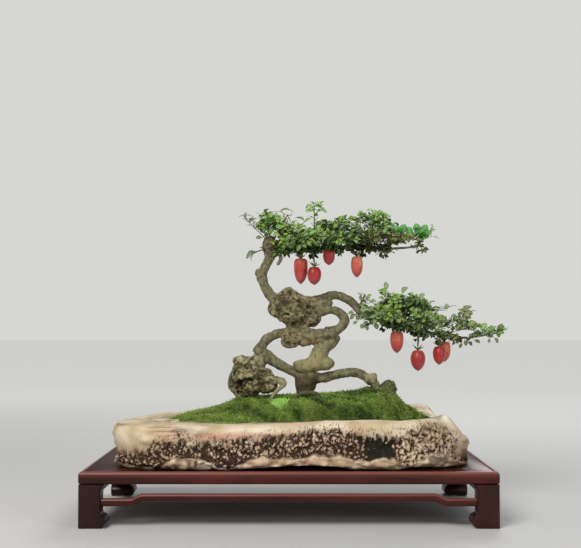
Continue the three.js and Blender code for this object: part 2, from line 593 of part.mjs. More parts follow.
// Where each leaf of a spray is rooted and how it lies. Every leaf takes the same number of draws.
function leafPlaces(spray, random) {
  const curve = shootCurve(spray);
  return Array.from({ length: spray.leaves }, (_, i) => {
    const bare = spray.bare ?? SHOOT.bare;
    const t = bare + (1 - bare) * ((i + 0.6) / spray.leaves);
    const forward = curve.getTangent(t);
    const side = new THREE.Vector3(forward.y, -forward.x, 0);
    if (side.length() < 0.2) side.set(1, 0, 0);
    side.normalize();
    const over = side.clone().cross(forward);
    const around = i * GOLDEN_ANGLE + (random() - 0.5) * 0.6;
    const lean = 0.85 + 0.35 * random();
    const along = forward.multiplyScalar(Math.cos(lean))
      .addScaledVector(side, Math.sin(lean) * Math.cos(around))
      .addScaledVector(over, Math.sin(lean) * Math.sin(around));
    along.z = along.z * 0.6 + 0.12;
    along.normalize();
    const face = new THREE.Vector3((random() - 0.5) * LEAF.tilt, (random() - 0.5) * LEAF.tilt - 0.3, 1);
    face.addScaledVector(along, -face.dot(along)).normalize();
    const long = spray.leaf * (0.82 + 0.4 * random());
    return { root: curve.getPoint(t), along, face, long };
  });
}

function leafMatrix({ root, along, face }) {
  const across = face.clone().cross(along);
  return new THREE.Matrix4().makeBasis(along, across, face).setPosition(root);
}

function boxesMeet(a, b) {
  return [0, 1, 2].every((k) => a.min[k] <= b.max[k] && b.min[k] <= a.max[k]);
}

function meets(solid, others) {
  const box = solid.boundingBox();
  return others.some(({ body, bounds }) => boxesMeet(box, bounds) && solid.intersect(body).volume() > 1e-6);
}

function known(body) {
  return { body, bounds: body.boundingBox() };
}

// Every spray in turn: its shoot is cut to seat on the wood, and a leaf that would cross another
// piece, or the outer part of another leaf, is left out.
function spraySolids(clearWood, others) {
  const taken = others.map(known);
  const shoots = Object.entries(SPRAYS).map(([name, spray]) => {
    const curve = shootCurve(spray);
    const stations = [0, 0.5, 1].map((t) => {
      const { x, y, z } = curve.getPoint(t);
      return [x, y, z, THREE.MathUtils.lerp(SHOOT.baseRadius, SHOOT.tipRadius, t)];
    });
    const body = largestBody(limb(stations, FACETS.shoot, 0).subtract(clearWood));
    return { name, spray, body, clear: known(limb(stations, FACETS.shoot, LEAF_ROOM)) };
  });
  const wood = known(clearWood);
  return shoots.map(({ name, spray, body }, index) => {
    const random = seededRandom(FIRST_SEED + index);
    const otherShoots = shoots.filter((_, i) => i !== index).map(({ clear }) => clear);
    const leaves = [];
    const blades = [];
    leafPlaces(spray, random).forEach((place) => {
      const matrix = leafMatrix(place);
      const wide = place.long * LEAF.wide;
      const leaf = placed(bladeSolid(place.long, wide, LEAF.thick), matrix);
      const room = bladeSolid(place.long + LEAF_ROOM, wide + 2 * LEAF_ROOM, LEAF.thick + 2 * LEAF_ROOM);
      const clear = placed(room, matrix);
      const outer = bladeSolid(place.long * 0.75, wide, LEAF.thick).translate(place.long * 0.25, 0, 0);
      const blade = placed(outer, matrix);
      if (meets(clear, [wood, ...taken, ...otherShoots]) || meets(blade, blades)) return;
      leaves.push({ leaf, clear: known(clear) });
      blades.push(known(blade));
    });
    taken.push(...leaves.map(({ clear }) => clear));
    return [name, joined([body, ...leaves.map(({ leaf }) => leaf)])];
  });
}

// Assembly

const bonsai = new THREE.Group();
const modelled = new THREE.Group();
bonsai.add(modelled);

function addPiece(name, shape, [colour, roughness]) {
  const geometry = shape.isBufferGeometry ? geometryOf(solidOf(shape)) : geometryOf(shape);
  const material = new THREE.MeshStandardMaterial({ color: colour, roughness, metalness: 0 });
  const mesh = new THREE.Mesh(geometry, material);
  mesh.name = name;
  modelled.add(mesh);
}

function addStand() {
  const { width, depth, height, edge, frameWidth } = STAND;
  const sides = { front: [width, 0], right: [depth, 1], back: [width, 2], left: [depth, 3] };
  Object.entries(sides).forEach(([name, [length, quarter]]) => {
    const outTo = (quarter % 2 ? width : depth) / 2;
    const side = frameSide(length).translate(0, -outTo, height - edge).rotateZ((quarter * Math.PI) / 2);
    addPiece(`stand_frame_${name}`, side, COLOURS.lacquer);
  });
  const panelSize = [width - 2 * (frameWidth + GAP), depth - 2 * (frameWidth + GAP), PANEL.thick];
  const panel = new THREE.BoxGeometry(...panelSize).translate(0, 0, DECK - PANEL.thick / 2);
  addPiece('stand_panel', panel, COLOURS.lacquer);
  const battenLong = depth - 2 * (frameWidth + PANEL.lip + GAP);
  const battenTop = DECK - PANEL.thick - GAP;
  const batten = new THREE.BoxGeometry(BATTEN.wide, battenLong, BATTEN.thick);
  addPiece('stand_batten', batten.translate(0, 0, battenTop - BATTEN.thick / 2), COLOURS.lacquer);
  addLegsAndRails();
}

function addLegsAndRails() {
  const { width, depth } = STAND;
  const leg = legGeometry();
  const corners = { front_left: [1, 1], front_right: [-1, 1], back_left: [1, -1], back_right: [-1, -1] };
  Object.entries(corners).forEach(([name, [inX, inY]]) => {
    const one = leg.clone().scale(inX, inY, 1);
    if (inX * inY < 0) flipFaces(one);
    one.translate((-inX * width) / 2, (-inY * depth) / 2, 0);
    addPiece(`stand_leg_${name}`, one, COLOURS.lacquer);
  });
  ['front', 'right', 'back', 'left'].forEach((name, quarter) => {
    const [across, reach] = quarter % 2 ? [depth, width] : [width, depth];
    const rail = railGeometry(across - 2 * LEG.thick).translate(0, -reach / 2 + RAIL.setback + RAIL.deep, 0);
    addPiece(`stand_rail_${name}`, rail.rotateZ((quarter * Math.PI) / 2), COLOURS.lacquer);
  });
}

function flipFaces(geometry) {
  const { index } = geometry;
  for (let i = 0; i < index.count; i += 3) {
    const second = index.getX(i + 1);
    index.setX(i + 1, index.getX(i + 2));
    index.setX(i + 2, second);
  }
}

function addPlanting() {
  const wood = woodSolid(BARK_GROWTH.none);
  const clearWood = woodSolid(BARK_GROWTH.clear);
  addPiece('stone_slab', stoneSolid(), COLOURS.stone);
  addPiece('soil', largestBody(soilSolid(0).subtract(clearWood)), COLOURS.soil);
  addPiece('moss', largestBody(mossSolid().subtract(clearWood)), COLOURS.moss);
  addPiece('trunk', wood, COLOURS.bark);
  const taken = FRUITS.flatMap((fruit, i) => {
    const [x, y, z] = fruit.top;
    addPiece(`fruit_${i + 1}`, fruitGeometry(fruit).translate(x, y, z), COLOURS.fruit);
    const calyx = largestBody(calyxSolid(fruit).subtract(clearWood));
    addPiece(`calyx_${i + 1}`, calyx, COLOURS.calyx);
    const room = fruitGeometry({ long: fruit.long + 2 * LEAF_ROOM, wide: fruit.wide + 4 * LEAF_ROOM });
    return [solidOf(room.translate(x, y, z + LEAF_ROOM)), calyx];
  });
  spraySolids(clearWood, taken).forEach(([name, spray]) => addPiece(name, spray, COLOURS.leaf));
}

addStand();
addPlanting();

// The origin goes to the bottom centre of the whole.
const extent = new THREE.Box3().setFromObject(modelled);
modelled.position.set(-(extent.min.x + extent.max.x) / 2, -(extent.min.y + extent.max.y) / 2, -extent.min.z);

export default bonsai;
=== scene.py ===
# %% [markdown]
# # A princess persimmon bonsai
#
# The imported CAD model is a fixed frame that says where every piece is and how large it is. This lesson
# gives each piece the fine shape and the finish of the real thing, in the same place: a lacquered table,
# a hollowed slab of natural stone, a mossy mound, a knotted old trunk, leafy sprays and orange-red fruit.
# Lengths in this script are millimetres from the middle of the table, as the CAD source has them, and
# each mesh is turned into metres in the frame's own axes when it is made.

# %% Load the frame
import math

import bmesh
import bpy
import numpy as np
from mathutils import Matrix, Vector
from mathutils.kdtree import KDTree


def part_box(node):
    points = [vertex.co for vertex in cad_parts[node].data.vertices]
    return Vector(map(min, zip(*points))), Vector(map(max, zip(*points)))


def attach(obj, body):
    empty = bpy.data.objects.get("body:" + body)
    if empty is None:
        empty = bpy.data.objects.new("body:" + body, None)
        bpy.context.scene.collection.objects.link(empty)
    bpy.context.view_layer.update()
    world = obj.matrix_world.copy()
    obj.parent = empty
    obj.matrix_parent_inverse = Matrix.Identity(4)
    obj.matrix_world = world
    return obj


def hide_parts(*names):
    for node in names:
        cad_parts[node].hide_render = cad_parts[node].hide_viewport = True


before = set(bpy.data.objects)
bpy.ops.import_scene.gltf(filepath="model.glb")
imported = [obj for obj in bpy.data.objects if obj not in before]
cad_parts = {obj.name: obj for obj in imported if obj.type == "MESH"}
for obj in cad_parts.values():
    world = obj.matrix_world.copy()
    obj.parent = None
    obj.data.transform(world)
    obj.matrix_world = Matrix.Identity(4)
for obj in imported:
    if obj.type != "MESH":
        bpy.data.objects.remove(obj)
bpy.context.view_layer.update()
panel_low, panel_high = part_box("stand_panel")
table_middle = 500 * (panel_low.x + panel_high.x)
print("table middle", round(table_middle, 2))

# %% [markdown]
# ## Camera, floor and light
#
# The photo is a straight front view from a little over a metre, with a long lens, tipped up by about two
# and a half degrees. A plain pale floor carries the table and runs out into a faint glow far off. Large
# area lamps give the soft light of a studio: one from the front left and above, a weaker one from the
# right, and one from behind that draws a thin light edge round the tree. The exposure is that of a
# standard display, so colours stay true.

# %% Camera
CAMERA = {"lens": 67.5, "sensor": 36, "x": 1.8, "y": -1435, "z": 247, "tipped_up": 2.42}

scene = bpy.context.scene
camera = bpy.data.objects.new("camera", bpy.data.cameras.new("camera"))
scene.collection.objects.link(camera)
camera.data.lens = CAMERA["lens"]
camera.data.sensor_width = CAMERA["sensor"]
camera.location = [(CAMERA["x"] + table_middle) / 1000, CAMERA["y"] / 1000, CAMERA["z"] / 1000]
camera.rotation_euler = (math.radians(90 + CAMERA["tipped_up"]), 0, 0)
scene.camera = camera

# %% Floor and lamps
scene.view_settings.view_transform = "Standard"


def linear(red, green, blue):
    """A display colour, each channel from 0 to 255, as Blender's linear colour."""
    shares = [v / 255 for v in (red, green, blue)]
    return (*[s / 12.92 if s < 0.04045 else ((s + 0.055) / 1.055) ** 2.4 for s in shares], 1)


def lamp(name, place, aim, size, watts, tint=(1, 1, 1)):
    light = bpy.data.lights.new(name, "AREA")
    light.shape = "DISK"
    light.size = size
    light.energy = watts
    light.color = tint
    holder = bpy.data.objects.new(name, light)
    scene.collection.objects.link(holder)
    holder.location = place
    holder.rotation_euler = (Vector(aim) - Vector(place)).to_track_quat("-Z", "Y").to_euler()


lamp("key", (-0.7, -1.5, 1.5), (0, 0, 0.2), 1.1, 35, (1, 0.98, 0.94))
lamp("fill", (1.3, -1.3, 0.6), (0, 0, 0.2), 1.2, 8, (0.95, 0.98, 1))
lamp("back", (0.5, 1.5, 1.4), (0, 0, 0.3), 0.9, 17)


# %% Pale surroundings
PALE = linear(214, 214, 211)
FLOOR = {"size": 24, "near": 0.35, "far": 2.4}


def add(tree, kind, inputs=None, **settings):
    """A node with its settings. An input is a value, a node's output, or a node for its first output."""
    node = tree.nodes.new(kind)
    for name, value in settings.items():
        setattr(node, name, value)
    for name, value in (inputs or {}).items():
        if isinstance(value, bpy.types.Node):
            value = value.outputs[0]
        if isinstance(value, bpy.types.NodeSocket):
            tree.links.new(value, node.inputs[name])
        else:
            node.inputs[name].default_value = value
    return node


world = bpy.data.worlds.new("studio")
world.use_nodes = True
sky = world.node_tree
backdrop = add(sky, "ShaderNodeBackground", {"Color": PALE, "Strength": 1.0})
ambient = add(sky, "ShaderNodeBackground", {"Color": PALE, "Strength": 0.36})
seen = add(sky, "ShaderNodeLightPath").outputs["Is Camera Ray"]
both = add(sky, "ShaderNodeMixShader", {0: seen, 1: ambient, 2: backdrop})
sky.links.new(both.outputs[0], sky.nodes["World Output"].inputs["Surface"])
scene.world = world

bpy.ops.mesh.primitive_plane_add(size=FLOOR["size"])
floor = bpy.context.object
floor.name = "floor"
pale = bpy.data.materials.new("pale_floor")
pale.use_nodes = True
ground = pale.node_tree
paper = ground.nodes["Principled BSDF"]
paper.inputs["Roughness"].default_value = 1.0
paper.inputs["Specular IOR Level"].default_value = 0.1
paper.inputs["Emission Color"].default_value = PALE
place = add(ground, "ShaderNodeTexCoord").outputs["Object"]
distance = add(ground, "ShaderNodeVectorMath", {0: place}, operation="LENGTH").outputs["Value"]
for socket, near_by, far_off in (("Emission Strength", 0.0, 0.84), ("Base Color", 0.61, 0.2)):
    reach = {"Value": distance, "From Min": FLOOR["near"], "From Max": FLOOR["far"]}
    reach |= {"To Min": near_by, "To Max": far_off}
    by_distance = add(ground, "ShaderNodeMapRange", reach, interpolation_type="SMOOTHSTEP")
    ground.links.new(by_distance.outputs[0], paper.inputs[socket])
floor.data.materials.append(pale)

# %% [markdown]
# ## Helpers for meshes
#
# Most pieces here are rings of points joined into a skin, so one helper joins rings and closes both ends
# with a point or a flat face. Another turns points and faces into a Blender piece in the frame's metres,
# with its normals outwards, and marks its sharp edges. The last hands a finished piece to the root body
# and hides the CAD nodes that it stands for.

# %% Mesh helpers
def ring_faces(rings, count):
    """Four-sided faces between one ring of count points and the next."""
    start = np.arange(rings - 1)[:, None] * count
    one = np.arange(count)[None, :]
    nxt = (one + 1) % count
    quads = np.stack([start + one, start + nxt, start + count + nxt, start + count + one], axis=-1)
    return quads.reshape(-1, 4).tolist()


def skin(rings, first=None, last=None):
    """Points and faces of a closed skin: an end is closed by its pole, or by a flat face without one."""
    rings = np.asarray(rings, float)
    count = rings.shape[1]
    points = rings.reshape(-1, 3).tolist()
    faces = ring_faces(len(rings), count)
    for pole, start in ((first, 0), (last, (len(rings) - 1) * count)):
        edge = [start + i for i in range(count)]
        if pole is None:
            faces.append(edge)
            continue
        faces += [[edge[i], edge[(i + 1) % count], len(points)] for i in range(count)]
        points.append(list(pole))
    return points, faces


def combined(parts):
    """Several (points, faces) as one."""
    points, faces = [], []
    for some, joined in parts:
        faces += [[i + len(points) for i in face] for face in joined]
        points += [list(p) for p in some]
    return points, faces


def to_frame(points):
    return (np.asarray(points, float) + (table_middle, 0, 0)) / 1000


def in_scene(mesh):
    piece = bpy.data.objects.new(mesh.name, mesh)
    scene.collection.objects.link(piece)
    return piece


def new_piece(name, points, faces, material=None, sharp=40, outwards=True):
    mesh = bpy.data.meshes.new(name)
    mesh.from_pydata(to_frame(points).tolist(), [], faces)
    if outwards:
        work = bmesh.new()
        work.from_mesh(mesh)
        bmesh.ops.recalc_face_normals(work, faces=work.faces)
        work.to_mesh(mesh)
        work.free()
    mesh.shade_smooth()
    mesh.set_sharp_from_angle(angle=math.radians(sharp))
    if material:
        mesh.materials.append(material)
    return in_scene(mesh)


def line_piece(name, points, edges):
    """A piece of points and edges only, for a node tree to build on."""
    mesh = bpy.data.meshes.new(name)
    mesh.from_pydata(to_frame(points).tolist(), edges, [])
    return in_scene(mesh)


def numbers(mesh, collection, field, size, kind=np.float64):
    """One field of all the points or edges of a mesh, a row for each."""
    values = np.zeros(size * len(getattr(mesh, collection)), kind)
    getattr(mesh, collection).foreach_get(field, values)
    return values.reshape(-1, size)


def triangles(piece):
    return sum(len(polygon.vertices) - 2 for polygon in piece.data.polygons)


def hand_over(piece, slot, *nodes):
    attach(piece, "root")
    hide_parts(*nodes)
    print(piece.name, triangles(piece), "triangles")


def store(piece, name, values, kind="FLOAT"):
    """Keeps one value for each point of a piece, for its material or a node tree to read."""
    attribute = piece.data.attributes.new(name, kind, "POINT")
    values = np.ravel(values).astype({"INT": np.int32, "BOOLEAN": bool}.get(kind, np.float32))
    attribute.data.foreach_set("vector" if kind == "FLOAT_VECTOR" else "value", values)


# %% [markdown]
# ## Helpers for unevenness
#
# Nothing here is machined, so shapes need noise of three kinds. The first is the same slow wave that the
# CAD source uses, so that both models bulge in the same places. The second is a soft cloud with lumps of a
# chosen size. The third scatters grains, one in each cell of a grid, and tells every point how far the
# nearest grain is: that makes pebbles, bark knobs and pits. All repeat exactly from run to run. Three
# small helpers turn places into soft masks.

# %% Noise helpers
def unevenness(x, y, z, wavelength):
    k = 2 * np.pi / wavelength
    first = np.sin(k * x + 1.3) * np.cos(0.83 * k * y)
    second = np.sin(0.91 * k * y + 2.1) * np.cos(1.07 * k * z)
    third = np.sin(1.13 * k * z + 0.7) * np.cos(0.77 * k * x + 0.4)
    return (first + second + third) / 2.2


WAVE = {"stone": 26, "moss": 47, "limb": 17, "knob": 13}  # how long the source's waves are


def cell_number(cells, seed):
    """A repeatable number from 0 to 1 for each whole-number cell."""
    x, y, z = (cells[..., k].astype(np.uint32) for k in range(3))
    mixed = x * np.uint32(73856093) ^ y * np.uint32(19349663) ^ z * np.uint32(83492791)
    mixed ^= np.uint32(seed * 9781)
    for _ in range(2):
        mixed = (mixed ^ (mixed >> np.uint32(16))) * np.uint32(73244475)
    return (mixed ^ (mixed >> np.uint32(16))) / 2**32


def cloud(points, size, seed=0, octaves=1):
    """Soft noise from about -1 to 1, with lumps about size across, and finer ones over them."""
    total, weight = 0, 0
    for octave in range(octaves):
        scaled = np.asarray(points) / (size / 2**octave)
        cell = np.floor(scaled).astype(np.int64)
        share = scaled - cell
        share = share * share * (3 - 2 * share)
        value = 0
        for corner in np.ndindex(2, 2, 2):
            part = np.prod(np.where(np.array(corner), share, 1 - share), axis=-1)
            value = value + part * cell_number(cell + np.array(corner), seed + octave)
        total = total + (2 * value - 1) / 2**octave
        weight += 1 / 2**octave
    return 1.6 * total / weight


def grains(points, size, seed=0):
    """How far the nearest grain is, how much further the next, both in sizes, and the grain's number."""
    scaled = np.asarray(points) / size
    cell = np.floor(scaled).astype(np.int64)
    nearest = np.full(len(scaled), 9.0)
    second = nearest.copy()
    number = np.zeros(len(scaled))
    for step in np.ndindex(3, 3, 3):
        other = cell + np.array(step) - 1
        centre = other + np.stack([cell_number(other, seed + k) for k in range(3)], axis=-1)
        away = np.linalg.norm(scaled - centre, axis=-1)
        closer = away < nearest
        second = np.where(closer, nearest, np.minimum(second, away))
        number = np.where(closer, cell_number(other, seed + 3), number)
        nearest = np.where(closer, away, nearest)
    return nearest, second - nearest, number


def ease(value, low, high):
    """0 up to low, 1 from high on, and a smooth step between them."""
    share = np.clip((value - low) / (high - low), 0, 1)
    return share * share * (3 - 2 * share)


def within(value, low, high, edge):
    """1 between low and high, falling to 0 over an edge on either side."""
    return ease(value, low - edge, low + edge) * (1 - ease(value, high - edge, high + edge))


def near(*terms):
    """1 at a place and fading round it. Each term is a coordinate, its middle and its reach."""
    return np.exp(-sum(((value - middle) / reach) ** 2 for value, middle, reach in terms))


# %% [markdown]
# ## Helpers for materials
#
# Each finish is a small node tree round one Principled shader. Its inputs are plain numbers, the names of
# numbers that were stored on the mesh, colours as three channels, or other nodes. Layers of colour are
# laid over each other, each with its own share. Patterns read Object coordinates, which here are metres in
# the frame.

# %% Material helpers
class Finish:
    """A node material, built up from what its pattern needs."""

    def __init__(self, name, roughness, **sockets):
        self.material = bpy.data.materials.new(name)
        self.material.use_nodes = True
        self.tree = self.material.node_tree
        self.shader = self.tree.nodes["Principled BSDF"]
        self.shader.inputs["Roughness"].default_value = roughness
        for socket, value in sockets.items():
            self.shader.inputs[socket.replace("_", " ")].default_value = value
        self.place = add(self.tree, "ShaderNodeTexCoord").outputs["Object"]

    def stored(self, name):
        return add(self.tree, "ShaderNodeAttribute", attribute_name=name).outputs["Fac"]

    def read(self, value):
        """A name means the number stored under it, and three channels from 0 to 255 mean a colour."""
        if isinstance(value, str):
            return self.stored(value)
        return linear(*value) if isinstance(value, tuple) else value

    def stretched(self, scale):
        """Object coordinates, scaled by a number for each axis."""
        return add(self.tree, "ShaderNodeMapping", {"Vector": self.place, "Scale": scale}).outputs["Vector"]

    def noise(self, per_metre, detail=4, where=None):
        inputs = {"Vector": where or self.place, "Scale": per_metre, "Detail": detail, "Roughness": 0.55}
        return add(self.tree, "ShaderNodeTexNoise", inputs).outputs["Fac"]

    def cells(self, per_metre, where=None):
        inputs = {"Vector": where or self.place, "Scale": per_metre}
        return add(self.tree, "ShaderNodeTexVoronoi", inputs).outputs["Distance"]

    def ranged(self, value, low, high, to_low=0.0, to_high=1.0):
        inputs = {"Value": self.read(value), "From Min": low, "From Max": high}
        inputs |= {"To Min": to_low, "To Max": to_high}
        return add(self.tree, "ShaderNodeMapRange", inputs).outputs["Result"]

    def maths(self, operation, *values):
        inputs = {i: self.read(value) for i, value in enumerate(values)}
        return add(self.tree, "ShaderNodeMath", inputs, operation=operation).outputs[0]

    def times(self, a, b):
        return self.maths("MULTIPLY", a, b)

    def plus(self, a, b):
        return self.maths("ADD", a, b)

    def blend(self, factor, a, b):
        inputs = {0: self.read(factor), 6: self.read(a), 7: self.read(b)}
        return add(self.tree, "ShaderNodeMix", inputs, data_type="RGBA").outputs[2]

    def layers(self, base, *over):
        """A base colour with others laid over it in turn. Each is a pair of how much and which colour."""
        for factor, colour in over:
            base = self.blend(factor, base, colour)
        return base

    def colour(self, socket):
        self.tree.links.new(socket, self.shader.inputs["Base Color"])

    def dull(self, socket):
        self.tree.links.new(socket, self.shader.inputs["Roughness"])

    def relief(self, height, millimetres, strength=1.0):
        inputs = {"Height": height, "Distance": millimetres / 1000, "Strength": strength}
        bump = add(self.tree, "ShaderNodeBump", inputs)
        self.tree.links.new(bump.outputs["Normal"], self.shader.inputs["Normal"])

    def see_into(self, weight, *radius):
        """Light that goes a little way into the piece, as far as the three radii in metres say."""
        self.shader.inputs["Subsurface Weight"].default_value = weight
        self.shader.inputs["Subsurface Radius"].default_value = radius

# %% [markdown]
# ## The lacquered table
#
# The real table is dark hardwood under a thin, satin lacquer: red-brown and darker in the pores.
# Its rounded top edges and the upper faces of the rails get a painted highlight, and the legs are
# painted darker as shade under the frame. The grain runs along each piece, so there is one finish for
# each direction.
# It is noise drawn out twenty times as long as it is wide, used for the colour, for the roughness and,
# very shallow, for the relief.

# %% Lacquer
def lacquer(name, stretch, low=(40, 15, 12), high=(80, 28, 21)):
    made = Finish(name, 0.36, Coat_Weight=0.1, Coat_Roughness=0.25, Specular_IOR_Level=0.2)
    along = made.stretched(stretch)
    figure, pores, wear = made.noise(60, 5, along), made.noise(420, 3, along), made.noise(14, 4)
    body = made.layers(
        made.blend(made.ranged(figure, 0.32, 0.68), low, high),
        (made.ranged(pores, 0.5, 0.75), (26, 12, 10)),
        (made.ranged(wear, 0.45, 0.8, 0, 0.35), (98, 42, 34)),
        # painted highlight: paler on the rounded top edges and on faces that look up
        (made.times("rubbed", 0.6), (150, 92, 82)),
    )
    made.colour(body)
    made.dull(made.ranged(wear, 0.3, 0.7, 0.28, 0.44))
    made.relief(pores, 0.12, 0.5)
    return made.material


lacquer_x = lacquer("red_lacquer_along_x", (0.05, 1, 1))
lacquer_y = lacquer("red_lacquer_along_y", (1, 0.05, 1))
# the legs get darker colours than the frame: painted shade under the frame
lacquer_z_painted_shade = lacquer("red_lacquer_along_z", (1, 1, 0.07), (22, 10, 9), (46, 19, 16))

# %% [markdown]
# ## Frame sides
#
# Each side of the frame is a moulding with a mitre at both ends. Its section has a rounded foot, a soft
# shoulder with a small bead standing one millimetre over the flat, and a lip below that carries the
# panel. A moulding is its section carried along a line, so each ring is the section at one end, moved in
# by its own distance from the outer face, which is what makes the mitre.

# %% Frame sides
TABLE = {"width": 500, "depth": 270, "height": 67, "edge": 15, "gap": 0.3}
TABLE_SIDES = [(TABLE["width"], TABLE["depth"]), (TABLE["depth"], TABLE["width"])]
MITRE = {"half_gap": 0.15, "softened": 0.5, "drawn_in": 0.3}


def arc(x, z, across, up, start, stop, count=7):
    turn = np.radians(np.linspace(start, stop, count))
    return [(x + across * math.cos(a), z + up * math.sin(a)) for a in turn]


SECTION = [
    *arc(3.4, 3.2, 3.4, 3.2, 270, 180),
    (-0.0, 7),
    *arc(4.2, 11.0, 4.2, 4.0, 180, 90, 9),
    *arc(5.0, 14.0, 1.0, 1.0, 90, 0, 5),
    (32, 14), (32, 5.7), (38, 5.7), (38, 0),
]
section = np.array(SECTION)
# the outer rounding at the top of the section gets a painted highlight
rubbed = np.clip((section[:, 1] - 10) / 4, 0, 1) * (section[:, 0] < 5.5)


def quarter_turned(points, quarter):
    """Turned about Z by quarter turns, anticlockwise seen from above."""
    c, s = [(1, 0), (0, 1), (-1, 0), (0, -1)][quarter]
    points = np.asarray(points, float)
    x, y = points[..., 0].copy(), points[..., 1].copy()
    return np.stack([c * x - s * y, s * x + c * y, points[..., 2]], axis=-1)


def frame_side(length, out_to, quarter):
    rings = []
    inwards = section.mean(axis=0) - section
    inwards /= np.linalg.norm(inwards, axis=1)[:, None]
    for end, last in ((-1, True), (-1, False), (1, False), (1, True)):
        drawn = section + last * MITRE["drawn_in"] * inwards
        reach = length / 2 - drawn[:, 0] - MITRE["half_gap"] - MITRE["softened"] * (not last)
        height = TABLE["height"] - TABLE["edge"] + drawn[:, 1]
        rings.append(np.stack([end * reach, drawn[:, 0] - out_to, height], axis=1))
    return skin(quarter_turned(rings, quarter))


SIDE_NAMES = ("front", "right", "back", "left")
for quarter, name in enumerate(SIDE_NAMES):
    length, depth = TABLE_SIDES[quarter % 2]
    made = frame_side(length, depth / 2, quarter)
    side = new_piece(f"frame_side_{name}", *made, (lacquer_x, lacquer_y)[quarter % 2], sharp=30)
    store(side, "rubbed", np.tile(rubbed, 4))
    hand_over(side, "lacquered_wood", f"stand_frame_{name}")

# %% [markdown]
# ## Panel and batten
#
# The panel and the batten under it are plain sawn boards. A copy of the CAD node has its loose triangles
# merged and its flat faces rebuilt, and a small bevel takes the edge off, as a plane would.

# %% Panel and batten
def eased_copy(node, name, millimetres, material):
    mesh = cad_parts[node].data.copy()
    mesh.materials.clear()
    mesh.materials.append(material)
    work = bmesh.new()
    work.from_mesh(mesh)
    bmesh.ops.remove_doubles(work, verts=work.verts, dist=1e-5)
    bmesh.ops.dissolve_limit(work, angle_limit=0.02, verts=work.verts, edges=work.edges)
    sharp = [edge for edge in work.edges if edge.calc_face_angle(0) > 0.6]
    bmesh.ops.bevel(work, geom=sharp, offset=millimetres / 1000, segments=3, profile=0.5, affect="EDGES")
    work.to_mesh(mesh)
    work.free()
    mesh.shade_smooth()
    mesh.set_sharp_from_angle(angle=math.radians(50))
    mesh.name = name
    return in_scene(mesh)


hand_over(eased_copy("stand_panel", "panel", 0.4, lacquer_x), "lacquered_wood", "stand_panel")
hand_over(eased_copy("stand_batten", "batten", 0.8, lacquer_y), "lacquered_wood", "stand_batten")

# %% [markdown]
# ## Legs
#
# A leg is straight on its two outer faces and swells inwards to a hoof at the foot, the same on both
# inner sides. At any height its section is therefore a square, as wide as the outline is there. Rings of
# rounded squares, close together at the hoof, make the whole of it.

# %% Legs
LEG = {"thick": 26, "foot": 33, "hoof": 21, "round": 1.8, "sole": 1.2, "sole_in": 1.1}


def bezier(a, b, c, d, count=16):
    t = np.linspace(0, 1, count)[:, None]
    a, b, c, d = (np.array(p, float) for p in (a, b, c, d))
    return (1 - t) ** 3 * a + 3 * (1 - t) ** 2 * t * b + 3 * (1 - t) * t**2 * c + t**3 * d


def leg_outline(height):
    """Points of half width and height up the inner side of a leg."""
    thick, foot, hoof = LEG["thick"], LEG["foot"], LEG["hoof"]
    sole = bezier((foot - 8, 0), (foot - 3, 1), (foot + 1, 6), (foot - 1, hoof / 2))
    ankle = bezier((foot - 1, hoof / 2), (foot - 2.5, hoof - 5.5), (thick - 1, hoof - 7), (thick, hoof))
    flare = ((0, 7), (0.3, 3.7), (2, 1.3), (5, 0))
    shoulder = bezier(*((thick + inwards, height - below) for inwards, below in flare))
    return np.concatenate([sole, ankle[1:], shoulder])


def rounded_square(wide, rounding, count=5):
    """Points round a square from the origin to (wide, wide)."""
    corners = [(wide - rounding, wide - rounding, 0), (rounding, wide - rounding, 90)]
    corners += [(rounding, rounding, 180), (wide - rounding, rounding, 270)]
    return [p for x, y, start in corners for p in arc(x, y, rounding, rounding, start, start + 90, count)]


def leg(in_x, in_y):
    height = TABLE["height"] - TABLE["edge"] - TABLE["gap"]
    outline = leg_outline(height)
    levels = np.concatenate([np.linspace(0, LEG["sole"], 3), np.linspace(2, LEG["hoof"] + 2, 26)])
    levels = np.concatenate([levels, np.linspace(height - 8, height, 9)])
    rings = []
    for z in levels:
        wide = np.interp(z, outline[:, 1], outline[:, 0])
        lift = max(0, 1 - z / LEG["sole"]) * LEG["sole_in"]
        square = np.array(rounded_square(wide - 2 * lift, LEG["round"])) + lift
        x = in_x * (square[:, 0] - TABLE["width"] / 2)
        y = in_y * (square[:, 1] - TABLE["depth"] / 2)
        rings.append(np.stack([x, y, np.full(len(square), z)], axis=1))
    return skin(rings)


for end, in_y in (("front", 1), ("back", -1)):
    for hand, in_x in (("left", 1), ("right", -1)):
        made = new_piece(f"leg_{end}_{hand}", *leg(in_x, in_y), lacquer_z_painted_shade, sharp=45)
        hand_over(made, "lacquered_wood", f"stand_leg_{end}_{hand}")

# %% [markdown]
# ## Helpers for Geometry Nodes
#
# What repeats or follows a path is made by Geometry Nodes. A tree gets a named input for each of its
# sizes. It is run on a carrier mesh, the result is taken as a plain mesh, and the modifier is removed,
# so what is left is an ordinary piece.

# %% Geometry Nodes helpers
SOCKETS = {
    float: "NodeSocketFloat",
    bpy.types.Object: "NodeSocketObject",
    bpy.types.Material: "NodeSocketMaterial",
}


def new_tree(name, **sizes):
    tree = bpy.data.node_groups.new(name, "GeometryNodeTree")
    tree.interface.new_socket("Geometry", in_out="OUTPUT", socket_type="NodeSocketGeometry")
    tree.interface.new_socket("Geometry", in_out="INPUT", socket_type="NodeSocketGeometry")
    for key, kind in sizes.items():
        tree.interface.new_socket(key.replace("_", " "), in_out="INPUT", socket_type=SOCKETS[kind])
    source = tree.nodes.new("NodeGroupInput").outputs
    return tree, {"Geometry": source["Geometry"], **{key: source[key.replace("_", " ")] for key in sizes}}


def ends_in(tree, geometry):
    """Closes a tree with Realize Instances as its output."""
    made_real = add(tree, "GeometryNodeRealizeInstances", {"Geometry": geometry})
    add(tree, "NodeGroupOutput", {"Geometry": made_real})


